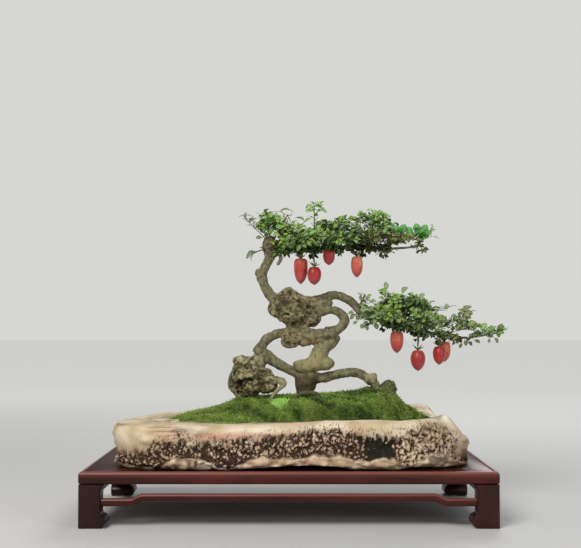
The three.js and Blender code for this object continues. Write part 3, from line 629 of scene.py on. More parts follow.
def run_tree(carrier, tree, **values):
    modifier = carrier.modifiers.new(tree.name, "NODES")
    modifier.node_group = tree
    for item in tree.interface.items_tree:
        key = item.name.replace(" ", "_")
        if item.in_out == "INPUT" and key in values:
            modifier[item.identifier] = values[key]
    shown = carrier.evaluated_get(bpy.context.evaluated_depsgraph_get())
    mesh = bpy.data.meshes.new_from_object(shown)
    carrier.modifiers.remove(modifier)
    mesh.name = carrier.name
    carrier.data = mesh
    return carrier


def named(tree, name, kind="FLOAT"):
    return add(tree, "GeometryNodeInputNamedAttribute", {"Name": name}, data_type=kind).outputs["Attribute"]


def tagged(tree, geometry, name, value):
    """Geometry with a number kept on each of its points."""
    inputs = {"Geometry": geometry, "Name": name, "Value": value}
    return add(tree, "GeometryNodeStoreNamedAttribute", inputs, data_type="FLOAT", domain="POINT")


def coated(tree, geometry, material):
    return add(tree, "GeometryNodeSetMaterial", {"Geometry": geometry, "Material": material})


# %% [markdown]
# ## Rails
#
# Between each pair of legs runs a stretcher that steps up near both ends, like a flattened bracket. It is
# a rounded bar along a path, so a Geometry Nodes tree carries a filleted rectangle along a polyline. The
# path's own points hold the step, eased at its top and bottom.

# %% Rails
RAIL = {"thick": 9, "deep": 11, "low": 30, "rise": 5.5}
RAIL |= {"step_at": 50, "ramp": 15, "setback": 4, "rounding": 3}


def bar_along_path():
    sizes = {"Deep": float, "Thick": float, "Rounding": float}
    tree, given = new_tree("bar_along_path", **sizes, Lacquer=bpy.types.Material)
    path = add(tree, "GeometryNodeMeshToCurve", {"Mesh": given["Geometry"]})
    path = add(tree, "GeometryNodeSetCurveNormal", {"Curve": path}, mode="Z_UP")
    outline = {"Width": given["Deep"], "Height": given["Thick"]}
    outline = add(tree, "GeometryNodeCurvePrimitiveQuadrilateral", outline)
    outline = {"Curve": outline, "Radius": given["Rounding"], "Count": 5}
    outline = add(tree, "GeometryNodeFilletCurve", outline, mode="POLY")
    bar = {"Curve": path, "Profile Curve": outline, "Fill Caps": True}
    bar = add(tree, "GeometryNodeCurveToMesh", bar)
    ends_in(tree, coated(tree, bar, given["Lacquer"]))
    return tree


def rail_line(half):
    start, stop = half - RAIL["step_at"] + RAIL["ramp"], half - RAIL["step_at"]
    shares = np.linspace(0, 1, 12)
    ramp = [(start + (stop - start) * s, RAIL["low"] + RAIL["rise"] * ease(s, 0, 1)) for s in shares]
    right = [(half, RAIL["low"]), *ramp]
    return [(-x, z) for x, z in right] + right[::-1]


rail_tree = bar_along_path()
rail_sizes = {"Deep": RAIL["deep"] / 1000, "Thick": RAIL["thick"] / 1000, "Rounding": RAIL["rounding"] / 1000}
for quarter, name in enumerate(SIDE_NAMES):
    across, out_to = TABLE_SIDES[quarter % 2]
    line = rail_line(across / 2 - LEG["thick"] - TABLE["gap"])
    away = -out_to / 2 + RAIL["setback"] + RAIL["deep"] / 2
    points = quarter_turned([(x, away, z) for x, z in line], quarter)
    rail = line_piece(f"rail_{name}", points, [(i, i + 1) for i in range(len(line) - 1)])
    run_tree(rail, rail_tree, Lacquer=(lacquer_x, lacquer_y)[quarter % 2], **rail_sizes)
    rail.data.shade_smooth()
    rail.data.set_sharp_from_angle(angle=math.radians(50))
    # a painted highlight on the faces of the rail that look up
    store(rail, "rubbed", ease(numbers(rail.data, "vertices", "normal", 3)[:, 2], 0.1, 0.7))
    hand_over(rail, "lacquered_wood", f"stand_rail_{name}")

# %% [markdown]
# ## The stone slab
#
# The slab is one natural stone: a smooth cream rim and left end, a dark pitted band along its side that
# is set with pale granules, and pinkish lumps at the foot, where the edge lifts off the table in two low
# arches. Its form follows the CAD outline and side section, read here at a thousand places round and
# every millimetre up, so that the granules can be real relief and not only colour.

# %% Stone sizes
STONE = {"x": 0.5, "y": -15, "half_width": 227, "half_depth": 112, "squareness": 4.6}
STONE |= {"shelf": 118, "rim": 1.5, "left_drop": 1.5, "right_drop": 14, "foot": 66.3}
HUMP = {"from": 148, "to": 195, "y": 66, "reach": 30, "height": 12.5}
LOBE = {"x": 204, "y": -14, "long": 12, "deep": 34, "height": 9}
MOUND = {"x": 13, "y": 10, "half_width": 167, "half_depth": 63, "roundness": 2.3, "basin": 0.86, "floor": 92}
STONE_SIDE = np.array([  # inset from the widest outline, share of the height, roughness
    (11, 0, 2), (5, 0.06, 3), (1, 0.2, 3), (4, 0.4, 3), (2.5, 0.6, 3), (1, 0.8, 2), (3.5, 0.94, 1),
    (11, 1, 0),
])


# %% Stone outlines and top
def superellipse(angle, half_x, half_y, power):
    c, s = np.cos(angle), np.sin(angle)
    reach = (np.abs(c / half_x) ** power + np.abs(s / half_y) ** power) ** (-1 / power)
    return reach * c, reach * s


def stone_outline(angle):
    x, y = superellipse(angle, STONE["half_width"], STONE["half_depth"], STONE["squareness"])
    wander = 0.99 + 0.012 * np.sin(3 * angle + 0.6) + 0.012 * np.sin(7 * angle + 2)
    return STONE["x"] + x * wander, STONE["y"] + y * wander


def moss_outline(angle):
    x, y = superellipse(angle, MOUND["half_width"], MOUND["half_depth"], MOUND["roundness"])
    wander = 1 + 0.03 * np.sin(5 * angle + 1) + 0.02 * np.sin(9 * angle)
    return MOUND["x"] + x * wander, MOUND["y"] + y * wander


def stone_top(x, y):
    """Height of the rim: a hump behind the moss and a lobe at the right, and a front lip that rises to it."""
    crest = within(x, HUMP["from"], HUMP["to"], 8) * near((y, HUMP["y"], HUMP["reach"]))
    drop = STONE["left_drop"] * ease(-x, 120, 215) + STONE["right_drop"] * ease(x, 190, 226)
    lobe = LOBE["height"] * near((x, LOBE["x"], LOBE["long"]), (y, LOBE["y"], LOBE["deep"]))
    lip = (1.8 * ease(x, -80, -10) + 4 * ease(x, -10, 50)) * ease(-y, 35, 75) * (1 - ease(x, 175, 200))
    back_left = 4.2 * ease(-x, 165, 200) * ease(y, 0, 50)
    return STONE["shelf"] + STONE["rim"] - drop + HUMP["height"] * crest + lobe + lip - back_left


def even_angles(outline, count):
    """Angles whose points lie evenly round an outline."""
    fine = np.linspace(0, 2 * np.pi, 8 * count)
    x, y = outline(fine)
    run = np.concatenate([[0], np.cumsum(np.hypot(np.diff(x), np.diff(y)))])
    return np.interp(np.linspace(0, run[-1], count, endpoint=False), run, fine)


def through(stations, values, at):
    """A smooth curve through values at their stations."""
    stations, values = np.asarray(stations, float), np.asarray(values, float)
    slope = np.gradient(values, stations)
    i = np.clip(np.searchsorted(stations, at) - 1, 0, len(stations) - 2)
    wide = stations[i + 1] - stations[i]
    t = (at - stations[i]) / wide
    start, stop = (2 * t**3 - 3 * t**2 + 1) * values[i], (-2 * t**3 + 3 * t**2) * values[i + 1]
    return start + stop + wide * ((t**3 - 2 * t**2 + t) * slope[i] + (t**3 - t**2) * slope[i + 1])


# %% Stone body
STONE_AROUND, SIDE_ROWS, TOP_ROWS = 1080, 74, 14
angles = even_angles(stone_outline, STONE_AROUND)
edge_x, edge_y = stone_outline(angles)
out_x, out_y = edge_x - STONE["x"], edge_y - STONE["y"]
reach = np.hypot(out_x, out_y)


def side_ring(at):
    inset, share, rough = (through(range(8), STONE_SIDE[:, k], at) for k in range(3))
    left_end = ease(-edge_x, 150, 215)
    inset = inset * (1 - 0.5 * left_end * ease(at, 5.2, 6.6))
    inset += 9 * ease(edge_x, 190, 222) * ease(at, 4.8, 5.7)
    inset += 3 * left_end * (1 - ease(at, 1.5, 4.5))
    rough = rough * (1 - 0.75 * left_end)
    keep = 1 - (inset + rough * unevenness(edge_x, edge_y, share * 90, WAVE["stone"])) / reach
    x, y = STONE["x"] + out_x * keep, STONE["y"] + out_y * keep
    return np.stack([x, y, STONE["foot"] + share * (stone_top(x, y) - STONE["foot"])], axis=1)


def mound_ring(angle, share, height, outline=moss_outline):
    x, y = outline(angle)
    x, y = MOUND["x"] + (x - MOUND["x"]) * share, MOUND["y"] + (y - MOUND["y"]) * share
    return np.stack([x, y, height(x, y) if callable(height) else np.full(len(x), height)], axis=1)


up_side = np.interp(np.linspace(0, 1, SIDE_ROWS), [0, 0.12, 0.86, 1], [0, 1.3, 6, 7])
side = np.array([side_ring(at) for at in up_side])
inner = mound_ring(angles, 0.9, STONE["shelf"])
top = []
for share in np.linspace(0, 1, TOP_ROWS + 1)[1:]:
    row = side[-1] * (1 - share) + inner * share
    row[:, 2] = STONE["shelf"] + (stone_top(row[:, 0], row[:, 1]) - STONE["shelf"]) * ease(1 - share, 0, 0.9)
    top.append(row)
stone_rings = np.concatenate([side, top])
print("stone rings", stone_rings.shape)

# %% [markdown]
# ### Where the stone's markings are
#
# The markings follow a few lines along the stone: the top and the foot of the dark band, which rises
# from the left end, and the almost black hollow right of the middle. A cloud shifts every edge, so
# that nothing runs straight. The masks are kept as numbers on the mesh, and the material mixes its
# colours by them.

# %% Stone markings
BAND_LINE = np.array([  # along the stone, top of the dark band
    (-232, 86), (-176, 88.5), (-167, 94), (-160, 100), (-139, 101), (-82, 103), (-54, 102.5), (-26, 105.5),
    (-11, 107), (1, 110.5), (13, 113), (26, 115.5), (56, 116), (74, 113), (87, 111), (108, 108),
    (129, 109), (147, 115.5), (160, 119), (184, 120), (193, 115), (202, 105), (232, 100),
])
FOOT_LINE = np.array([  # along the stone, top of the pale lumps at its foot
    (-212, 74), (-200, 70), (-188, 67), (-157, 65), (-151, 76), (-139, 81), (-121, 80), (-102, 78.5),
    (-94, 76), (-86, 70), (-70, 67), (-60, 74), (-48, 80), (-33, 84), (-5, 81), (7, 80), (26, 83),
    (54, 86), (68, 84.5), (80, 79), (93, 74), (101, 76), (111, 81), (123, 79), (135, 71.5), (147, 69),
    (155, 77), (165, 80), (172, 86), (184, 84), (196, 84), (206, 74), (214, 71),
])

# %% Bands of the stone
flat = stone_rings.reshape(-1, 3)
x, y, z = flat.T
drift = 3.2 * cloud(flat, 19, 5) + 1.6 * cloud(flat, 6, 9)
level = z + drift
band_low, band_high = np.interp(x, *FOOT_LINE.T), np.interp(x, *BAND_LINE.T)
ragged = drift + (4.5 - 3 * ease(-x, 160, 190)) * cloud(flat * (1, 1, 0.35), 2.4, 52)
band = ease(level, band_low - 2, band_low + 2) * (1 - ease(z + ragged, band_high - 4, band_high + 2))
foot = 1 - ease(z + 0.6 * drift + 1.5 * cloud(flat, 3, 51), band_low - 3, band_low + 1)
band *= 1 - 0.85 * ease(x + 5 * cloud(flat, 12, 78), 200, 210) * ease(z, 78, 88)
on_side = 1 - ease(np.repeat(np.arange(len(stone_rings)), STONE_AROUND), SIDE_ROWS - 12, SIDE_ROWS - 2)
rich = ease(x, 118, 140) * (1 - ease(x, 202, 220))
wander = x + 9 * cloud(flat, 15, 71) + 6 * cloud(flat, 5, 72)
wet = within(wander, 83, 126, 5) * within(z + 0.6 * drift, 75, 110, 4) * band
row = within(level, band_high - 20, band_high - 5, 3)


# %% Pebbles and stains of the stone
def domes(size, seed, radius, least):
    """Round pebbles: 1 on top of each, 0 at its foot and between, and least is the share left out."""
    away, gap, number = grains(warped, size, seed)
    round_top = np.sqrt(np.clip(1 - (away / radius) ** 2, 0, 1))
    return round_top * ease(gap, 0.0, 0.14) * (number > least + 0.4 * wet)


warped = (flat + 1.3 * np.stack([cloud(flat, 5, 53 + k) for k in range(3)], axis=-1)) * (1, 1, 0.8)
big_dome = domes(6.2, 21, 0.6, 1 - 0.85 * rich)
middle = within(x, 4, 76, 14)
mid_dome = domes(3.9, 33, 0.58, 0.86 - 0.45 * np.maximum(row, rich) - 0.16 * middle)
small_dome = domes(2.6, 47, 0.56, 0.68 - 0.3 * np.maximum(rich, middle))
fringe = within(level, band_high - 7, band_high + 9, 6) * ease(x, -200, -160) * on_side
shadow = np.maximum(0, 1 - np.abs(level - band_high) / 7) * within(x, -215, 200, 12) * on_side
grain = np.clip(np.maximum(np.maximum(big_dome, mid_dome), 0.8 * small_dome), 0, 1) * band
blush = within(z + 0.5 * drift, 103, 113, 2.5) * within(x, -165, 20, 14) * (1 - band)
blush += 0.8 * foot * (0.5 + 0.9 * cloud(flat, 21, 74)) + 0.7 * ease(x, 198, 210) * within(z, 80, 114, 6)
blush = np.clip(blush * (0.68 + 0.5 * cloud(flat, 24, 31)), 0, 1)
dim = foot * np.clip(0.5 + 1.3 * cloud(flat * (1, 1, 0.5), 7, 75, 2), 0, 1)
dim *= 0.5 + 0.75 * within(x, -155, -60, 10)
dim = np.maximum(dim, foot * ease(x, 150, 165) * np.clip(0.6 + cloud(flat, 9, 76), 0, 1))
stain = within(x, -142, -104, 12) * within(z, 104, 118, 4)
dim = np.maximum(dim, stain * np.clip(0.2 + cloud(flat * (0.6, 1, 1.4), 8, 80, 2), 0, 0.7))
from_moss = (np.abs(x - MOUND["x"]) / MOUND["half_width"]) ** 2.3 + (np.abs(y + 5) / 80) ** 2.3
lichen = (1 - ease(from_moss, 1.1, 2.0)) * ease(z, 110, 116)
strata = (z + 0.3 * y + 0.12 * x + 5 * cloud(flat * (0.5, 1, 1), 30, 17, 2)) / 6.5
strata -= np.round(strata)
broken = ease(cloud(flat * (0.4, 1, 1), 15, 79), -0.1, 0.5)
crack = ease(1 - 2 * np.abs(strata), 0.76, 0.95) * within(x, -226, -95, 16) * ease(z, 103, 110) * broken
print("share of the stone in the band", round(float(band.mean()), 3))

# %% Stone relief
relief = 1.5 * cloud(flat, 34, 60) * ease(z, 66, 80) + 0.5 * cloud(flat, 9, 61, 2)
relief += band * (2.4 * np.maximum(big_dome, 0.66 * mid_dome) + 0.7 * small_dome - 1.6 - 0.6 * wet)
lumps, _, _ = grains(flat * (1, 1, 1.5), 17, 62)
relief += foot * (3.4 * (0.62 - lumps) + 1.2 * cloud(flat, 6, 63)) * ease(z, 66.5, 71)
relief -= 0.8 * crack
relief += 1.4 * strata * broken * within(x, -226, -95, 16) * ease(z, 106, 113)
relief[z >= 117] *= 0.7
along = np.roll(stone_rings, -1, axis=1) - np.roll(stone_rings, 1, axis=1)
up = np.gradient(stone_rings, axis=0)
normal = np.cross(along, up)
normal /= np.linalg.norm(normal, axis=-1, keepdims=True) + 1e-9
seat = ease(np.arange(len(stone_rings)), 0, 5)[:, None, None]
shaped = stone_rings + normal * relief.reshape(len(stone_rings), -1)[..., None] * seat
ARCHES = np.array([  # along the stone, how far its edge is lifted off the table
    (-75, 0), (-40, 2.8), (20, 4.2), (62, 3.6), (74, 0), (130, 0), (145, 3.2), (172, 2.8), (186, 0),
])
arch = np.interp(side[0, :, 0], *ARCHES.T) + 1.6 * ease(cloud(side[0], 50, 77), 0.1, 0.6)
arch = arch[None, :] * (1 - ease(np.arange(len(shaped)), 0, 14))[:, None]
shaped[..., 2] += arch

# %% Stone finish
rock = Finish("cream_stone_with_pitted_band", 0.6, Specular_IOR_Level=0.3)
veil, speck, fine = rock.noise(28, 5), rock.noise(260, 4), rock.noise(700, 3)
teeth = rock.ranged(rock.cells(560, rock.stretched((1, 1, 0.45))), 0.3, 0.46, 1, 0)
teeth = rock.times(rock.times(teeth, "fringe"), rock.ranged(rock.noise(170, 3), 0.4, 0.5))
spots = rock.times("lichen", rock.ranged(rock.noise(90, 5), 0.42, 0.6))
cream = rock.layers(
    rock.blend(rock.ranged(veil, 0.35, 0.65), (192, 168, 132), (226, 212, 184)),
    ("blush", (202, 157, 133)),
    (rock.ranged(speck, 0.6, 0.74, 0, 0.4), (150, 116, 84)),
    (rock.times("shadow", 0.3), (120, 88, 66)),
    (rock.times("dim", 0.8), (84, 68, 50)),
    (teeth, (74, 50, 36)),
    (rock.times(spots, 0.85), (120, 116, 78)),
)
deep = rock.layers(
    rock.blend(rock.ranged(speck, 0.35, 0.65), (15, 9, 6), (62, 39, 26)),
    (rock.ranged(fine, 0.55, 0.7, 0, 0.7), (138, 108, 82)),
    # near black in the hollow right of the middle
    ("wet", rock.blend(rock.ranged(speck, 0.4, 0.62), (14, 12, 6), (38, 32, 18))),
)
# each pebble is dark at its foot and pale on its top: painted shade and painted highlight over its own pale
# colour
pebble = rock.layers(
    rock.blend(rock.ranged("grain", 0.3, 0.95), (88, 64, 47), (222, 198, 168)),
    (rock.ranged(veil, 0.4, 0.62, 0.45, 0), (128, 98, 74)),
    (rock.ranged(speck, 0.54, 0.74, 0, 0.4), (120, 92, 68)),
)
marked = rock.layers(
    cream,
    ("band", deep),
    (rock.ranged("grain", 0.12, 0.45), pebble),
    (rock.times("crack", 0.7), (96, 72, 50)),
)
rock.colour(marked)
rock.dull(rock.ranged("band", 0, 1, 0.5, 0.85))
rock.relief(rock.plus(speck, rock.times(rock.cells(520), 0.5)), 0.5, 0.6)

# %% Stone piece
under_soil = (MOUND["x"], MOUND["y"], MOUND["floor"])
basin = [
    mound_ring(angles, MOUND["basin"], STONE["shelf"]),
    mound_ring(angles, MOUND["basin"] - 0.06, MOUND["floor"]),
]
points, faces = skin([*shaped, *basin], (STONE["x"], STONE["y"], STONE["foot"]), under_soil)
stone = new_piece("stone_slab_fine", points, faces, rock.material, sharp=180)
stone_masks = {
    "band": band, "grain": grain, "blush": blush, "wet": wet, "crack": crack,
    "shadow": shadow, "dim": dim, "fringe": fringe, "lichen": lichen,
}
for name, values in stone_masks.items():
    store(stone, name, np.concatenate([values, np.zeros(len(points) - len(flat))]))
hand_over(stone, "stone", "stone_slab")

# %% [markdown]
# ## Soil
#
# The soil fills the basin under the moss and can't be seen, so the CAD solid stays. It only gets the
# finish of damp earth, in case the moss is ever lifted.

# %% Soil finish
earth = Finish("damp_earth", 0.95)
crumb = earth.noise(300, 6)
earth.colour(earth.blend(earth.ranged(crumb, 0.35, 0.65), (34, 24, 17), (74, 55, 40)))
earth.relief(crumb, 1.5)
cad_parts["soil"].data.materials.clear()
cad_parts["soil"].data.materials.append(earth.material)

# %% [markdown]
# ## The mossy mound
#
# Moss grows in cushions over the soil and laps onto the stone. Its body is a height over the ground plan:
# the ridge that the CAD source gives, with low cushions and folds on it. The soil under it follows the
# same ridge and has to stay covered. At the right stands the end of an old root, grown over. The body
# alone would look like felt, so the shoots are made in the next step.

# %% Moss body
RIDGE = np.array([  # along the stone, height of the crest over it
    (-165, 0), (-132, 2.5), (-118, 4), (-105, 7.5), (-92, 10.5), (-81, 15), (-73, 19.5), (-65, 23.5),
    (0, 26), (54, 28.5), (75, 29), (100, 35), (117, 39), (130, 38), (139, 29), (148, 17), (160, 9),
    (184, 0),
])
SOIL_RIDGE = np.array([  # the same in the CAD source, which the soil follows
    (-165, 0), (-130, 7), (-99, 14), (-67, 25), (0, 28), (54, 32), (100, 38), (122, 41), (140, 30),
    (154, 17), (184, 0),
])
MOSS_AROUND, MOSS_ROWS, MOSS_EDGE, MOSS_SKIN, OVER_STONE = 400, 64, 2.6, 4, 0.3
OLD_ROOT = {"middle": (131, 0, 158), "half": (9.5, 9.5, 10)}


def carpet_outline(angle):
    """The edge of the moss, which laps further over the stone at the front left."""
    x, y = moss_outline(angle)
    lap = ease(-x, 20, 95) * (1 - ease(-x, 150, 180)) * ease(MOUND["y"] - y, -25, 25)
    return x, y - 40 * lap


def mound_height(x, y, ridge=RIDGE):
    across = np.maximum(0, 1 - np.abs((y - MOUND["y"]) / (MOUND["half_depth"] * 1.04)) ** 2.2)
    return np.interp(x, *ridge.T) * across**0.8 + 1.2 * unevenness(x, y, 0, WAVE["moss"]) * across


# %% Moss surface
moss_angles = even_angles(carpet_outline, MOSS_AROUND)


def drapes(points):
    """Folds that run across the slope and sag, from 0 in a valley to 1 on a crest."""
    x, y, _ = np.asarray(points, float).T
    slanted = np.stack([0.4 * x + 0.3 * y, 1.5 * y + 0.35 * x, 0 * x], axis=-1)
    return np.clip(1 - 1.7 * np.abs(cloud(slanted, 17, 87, 2)), 0, 1)


def moss_top(x, y):
    root_cover = 8 * near((x, 22, 26), (y, -25, 14))
    return STONE["shelf"] + MOSS_EDGE + mound_height(x, y) + root_cover


def soil_top(x, y):
    """The source's soil, which the moss must cover."""
    return STONE["shelf"] + MOSS_EDGE + mound_height(x, y, SOIL_RIDGE) - MOSS_SKIN


def moss_under(x, y):
    return np.maximum(STONE["shelf"] - 2, moss_top(x, y) - MOSS_SKIN) + OVER_STONE


WIDEST, RAGGED_FROM = 1.005, 0.93
mound_middle = np.array((MOUND["x"], MOUND["y"]), float)


def moss_ring(share):
    """One ring of the moss's upper side, with its cushions and folds."""
    edge = mound_ring(moss_angles, share, moss_top, carpet_outline)
    plan = edge * (1, 1, 0)
    round_off = ease(WIDEST - share, 0, 0.13)
    edge[:, 2] = (STONE["shelf"] + OVER_STONE) * (1 - round_off) + edge[:, 2] * round_off
    cushions = 1.6 * (0.6 - grains(plan, 11, 83)[0]) + 0.9 * cloud(plan, 4, 84)
    edge[:, 2] += round_off * (cushions + 3.4 * (drapes(edge) - 0.5))
    if share < MOUND["basin"] + 0.02:
        edge[:, 2] = np.maximum(edge[:, 2], soil_top(*edge[:, :2].T) + 0.7)
    if share > RAGGED_FROM:
        ragged = 1 + 0.045 * cloud(plan, 7, 85)
        edge[:, :2] = (edge[:, :2] - mound_middle) * ragged[:, None] + mound_middle
    return edge


under = [mound_ring(moss_angles, s, moss_under, carpet_outline) for s in np.linspace(0.04, 0.84, 12)]
under += [mound_ring(moss_angles, s, STONE["shelf"] + OVER_STONE, carpet_outline) for s in (0.88, 0.98)]
over = [moss_ring(share) for share in (WIDEST, *np.linspace(1, 0.02, MOSS_ROWS))]
poles = [(*mound_middle, float(height(*mound_middle))) for height in (moss_under, moss_top)]
carpet = skin(under + over, *poles)


# %% Old root end
def ball(centre, half, finer=4):
    """Points and faces of a round ball of triangles, drawn out to three half sizes."""
    work = bmesh.new()
    bmesh.ops.create_icosphere(work, subdivisions=finer, radius=1)
    points = np.array([v.co for v in work.verts])
    faces = [[v.index for v in face.verts] for face in work.faces]
    work.free()
    return points * half + centre, faces


root_points, root_faces = ball(OLD_ROOT["middle"], OLD_ROOT["half"], 5)
outward = (root_points - OLD_ROOT["middle"]) / OLD_ROOT["half"][0]
root_lumps = 2.2 * (0.55 - grains(root_points, 6, 15)[0]) + 0.8 * cloud(root_points, 3, 16)
root_points = root_points + outward * root_lumps[:, None]

# %% [markdown]
# ### Moss shoots
#
# Each shoot is a three-sided spike. A Geometry Nodes tree scatters them over the upper faces, turns each
# to the face's own direction and leans it at random. On every point it keeps how far up its shoot that is,
# so that the finish can paint shade on the shoots towards their foot, and one chance number for the shoot.
# The tree runs twice: for many short shoots and for a few long strands.

# %% Moss shoot tree
def moss_shoots():
    sizes = {"Spacing": float, "Density": float, "Tall": float, "Wide": float, "Lean": float}
    tree, given = new_tree("moss_shoots", Moss=bpy.types.Material, **sizes)
    places = {
        "Mesh": given["Geometry"],
        "Distance Min": given["Spacing"],
        "Density Max": given["Density"],
        "Density Factor": named(tree, "growing"),
        "Seed": 4,
    }
    places = add(tree, "GeometryNodeDistributePointsOnFaces", places, distribute_method="POISSON")
    own = add(tree, "FunctionNodeRandomValue", {2: 0.0, 3: 1.0, "Seed": 9}, data_type="FLOAT").outputs[1]
    cone = {"Vertices": 3, "Radius Bottom": given["Wide"], "Depth": given["Tall"], "Radius Top": 0.0}
    cone = add(tree, "GeometryNodeMeshCone", cone)
    height = add(tree, "ShaderNodeSeparateXYZ", {0: add(tree, "GeometryNodeInputPosition")}).outputs["Z"]
    share = add(tree, "ShaderNodeMath", {0: height, 1: given["Tall"]}, operation="DIVIDE")
    tilt = add(tree, "FunctionNodeRandomValue", {0: (-1, -1, 0), 1: (1, 1, 6.3)}, data_type="FLOAT_VECTOR")
    lean = add(tree, "ShaderNodeCombineXYZ", {"X": given["Lean"], "Y": given["Lean"], "Z": 1.0})
    tilt = add(tree, "ShaderNodeVectorMath", {0: tilt, 1: lean}, operation="MULTIPLY")
    turn = {"Rotation": places.outputs["Rotation"], "Rotate By": tilt}
    scale = {0: (0.7, 0.7, 0.5), 1: (1.3, 1.3, 1.35)}
    shoots = {
        "Points": tagged(tree, places, "own", own),
        "Instance": tagged(tree, cone, "up_shoot", share),
        "Rotation": add(tree, "FunctionNodeRotateRotation", turn, rotation_space="LOCAL"),
        "Scale": add(tree, "FunctionNodeRandomValue", scale, data_type="FLOAT_VECTOR"),
    }
    shoots = add(tree, "GeometryNodeInstanceOnPoints", shoots)
    ends_in(tree, coated(tree, shoots, given["Moss"]))
    return tree


moss_tree = moss_shoots()

# %% [markdown]
# ### Moss finish
#
# The moss isn't one green. It is yellow-green where it thins out at the left, deeper at the right, dark
# olive on the old root, and has one small cushion of another kind, which is much brighter. Those zones
# are numbers on the body, and the shoots take them over from the face that they stand on.

# %% Moss zones and finish
def moss_zones(points):
    x, y, z = np.asarray(points, float).T
    patch = near((x, -12, 15), (y, -26, 15))
    on_root = near((x, OLD_ROOT["middle"][0], 17), (z, OLD_ROOT["middle"][2] + 2, 16))
    thinning = np.clip(0.7 + cloud(points, 4, 94), 0.2, 1)
    return {
        "yellowish": np.clip(0.7 * ease(-x, 20, 120) + 0.6 * cloud(points, 24, 90, 2), 0, 1),
        "patch": ease(patch + 0.15 * cloud(points, 6, 91), 0.42, 0.6),
        "olive": ease(on_root + 0.2 * cloud(points, 6, 92), 0.3, 0.7) * thinning,
        "shade": np.clip(0.85 * drapes(points) + 0.35 * cloud(points, 9, 93, 2), 0, 1),
    }


def moss_colours(name, shoots):
    made = Finish(name, 0.85, Specular_IOR_Level=0.2)
    green = made.layers(
        made.blend("shade", (42, 72, 28), (158, 192, 84)),
        (made.times("yellowish", 0.8), (160, 172, 84)),
        ("olive", (128, 130, 92)),
        ("patch", (198, 255, 128)),
    )
    if shoots:
        pale, dark = made.ranged("own", 0.5, 1, 0, 0.4), made.ranged("own", 0, 0.3, 0.35, 0)
        green = made.layers(green, (pale, (196, 216, 124)), (dark, (52, 80, 32)))
        # painted shade: each shoot darker towards its foot
        green = made.blend(made.ranged("up_shoot", 0, 0.5), (54, 74, 30), green)
    else:
        # painted shade: the body under the shoots is darkened
        green = made.blend(0.45, green, (38, 52, 20))
        made.relief(made.noise(900, 4), 1.2)
    made.colour(green)
    return made.material


moss_ground = moss_colours("moss_ground", False)
moss_green = moss_colours("moss_shoots", True)


def mossy(name, points, faces, growing, stands):
    """A piece of moss body, and a piece of shoots for each kind that stands on it."""
    body = new_piece(name, points, faces, moss_ground, sharp=180)
    carriers = {kind: new_piece(f"{name}_{kind}", points, faces, None, sharp=180) for kind in stands}
    for piece in (body, *carriers.values()):
        for key, values in moss_zones(points).items():
            store(piece, key, values)
    hand_over(body, "moss", "moss")
    for kind, carrier in carriers.items():
        store(carrier, "growing", growing)
        run_tree(carrier, moss_tree, Moss=moss_green, **stands[kind])
        hand_over(carrier, "moss", "moss")


SHORT_SHOOTS = {"Spacing": 0.00088, "Density": 900000.0, "Tall": 0.0019, "Wide": 0.00075, "Lean": 0.8}
LONG_STRANDS = {"Spacing": 0.0019, "Density": 200000.0, "Tall": 0.0046, "Wide": 0.0006, "Lean": 1.25}
bare_points = (len(under) + 1) * MOSS_AROUND
open_air = np.arange(len(carpet[0])) >= bare_points
mossy("moss_carpet", *carpet, open_air * 1.0, {"shoots": SHORT_SHOOTS, "strands": LONG_STRANDS})
mossy("moss_old_root", root_points, root_faces, np.full(len(root_points), 0.35), {"shoots": SHORT_SHOOTS})

# %% [markdown]
# ## The trunk
#
# Trunk, burls, looping branches and roots grew as one piece. The CAD source builds it from limbs, which
# are tubes through stations of place and radius, and from knobs, which are swollen balls. The same
# stations are used here with many more sides. All are poured into one voxel remesh, which fuses them
# into a single skin with soft joints, as living wood has.

# %% Trunk stations
KNOBS = [  # middle, half sizes, how knotty
    ((3, 0, 261), (28, 21, 20), 1), ((-1, -1, 280), (13, 10, 9), 1), ((25, 1, 268), (14, 13, 11), 0.8),
    ((33, -3, 249), (9, 9, 12), 1), ((54, -8, 236), (8, 5, 4), 0.9), ((11, 2, 238), (14, 10, 8), 0.9),
    ((17, 0, 243), (12, 11, 7), 0.8), ((-44, 0, 170), (26, 19, 16), 1), ((-61, -3, 193), (13, 11, 8.5), 1),
    ((-41, 2, 191), (11, 10, 11), 0.8), ((17, -9, 187), (12, 10, 8.5), 0),
    ((48, -9, 190), (11, 10, 9.5), 0.1), ((33, -9, 190), (15, 12, 10.5), 0),
    ((-25, 0, 346), (10, 10, 11), 0.6), ((-40, 0, 309.5), (5.5, 6, 5.5), 0.2),
    ((18, -5, 221), (22, 8, 8), 1), ((2, -8, 220.5), (13, 8, 11), 1), ((33, -8, 222), (12, 6, 8), 1),
    ((44, -4, 268), (14, 8, 8.5), 0.3), ((-52, -1, 160), (21, 15, 12), 1),
    ((-30, -3, 161), (14, 13, 11), 1), ((-70, -3, 166), (9, 10, 13), 0.9),
    ((108, -6, 169.5), (8.5, 8, 8.5), 0.75), ((22, -9, 185), (14, 11, 7), 0),
    ((-66, 1, 181), (10, 9, 9), 0.9), ((-18, -14, 170), (7, 5.5, 5.5), 0.9),
    ((-9, -16, 167), (5, 4.5, 4.5), 0.8),
]
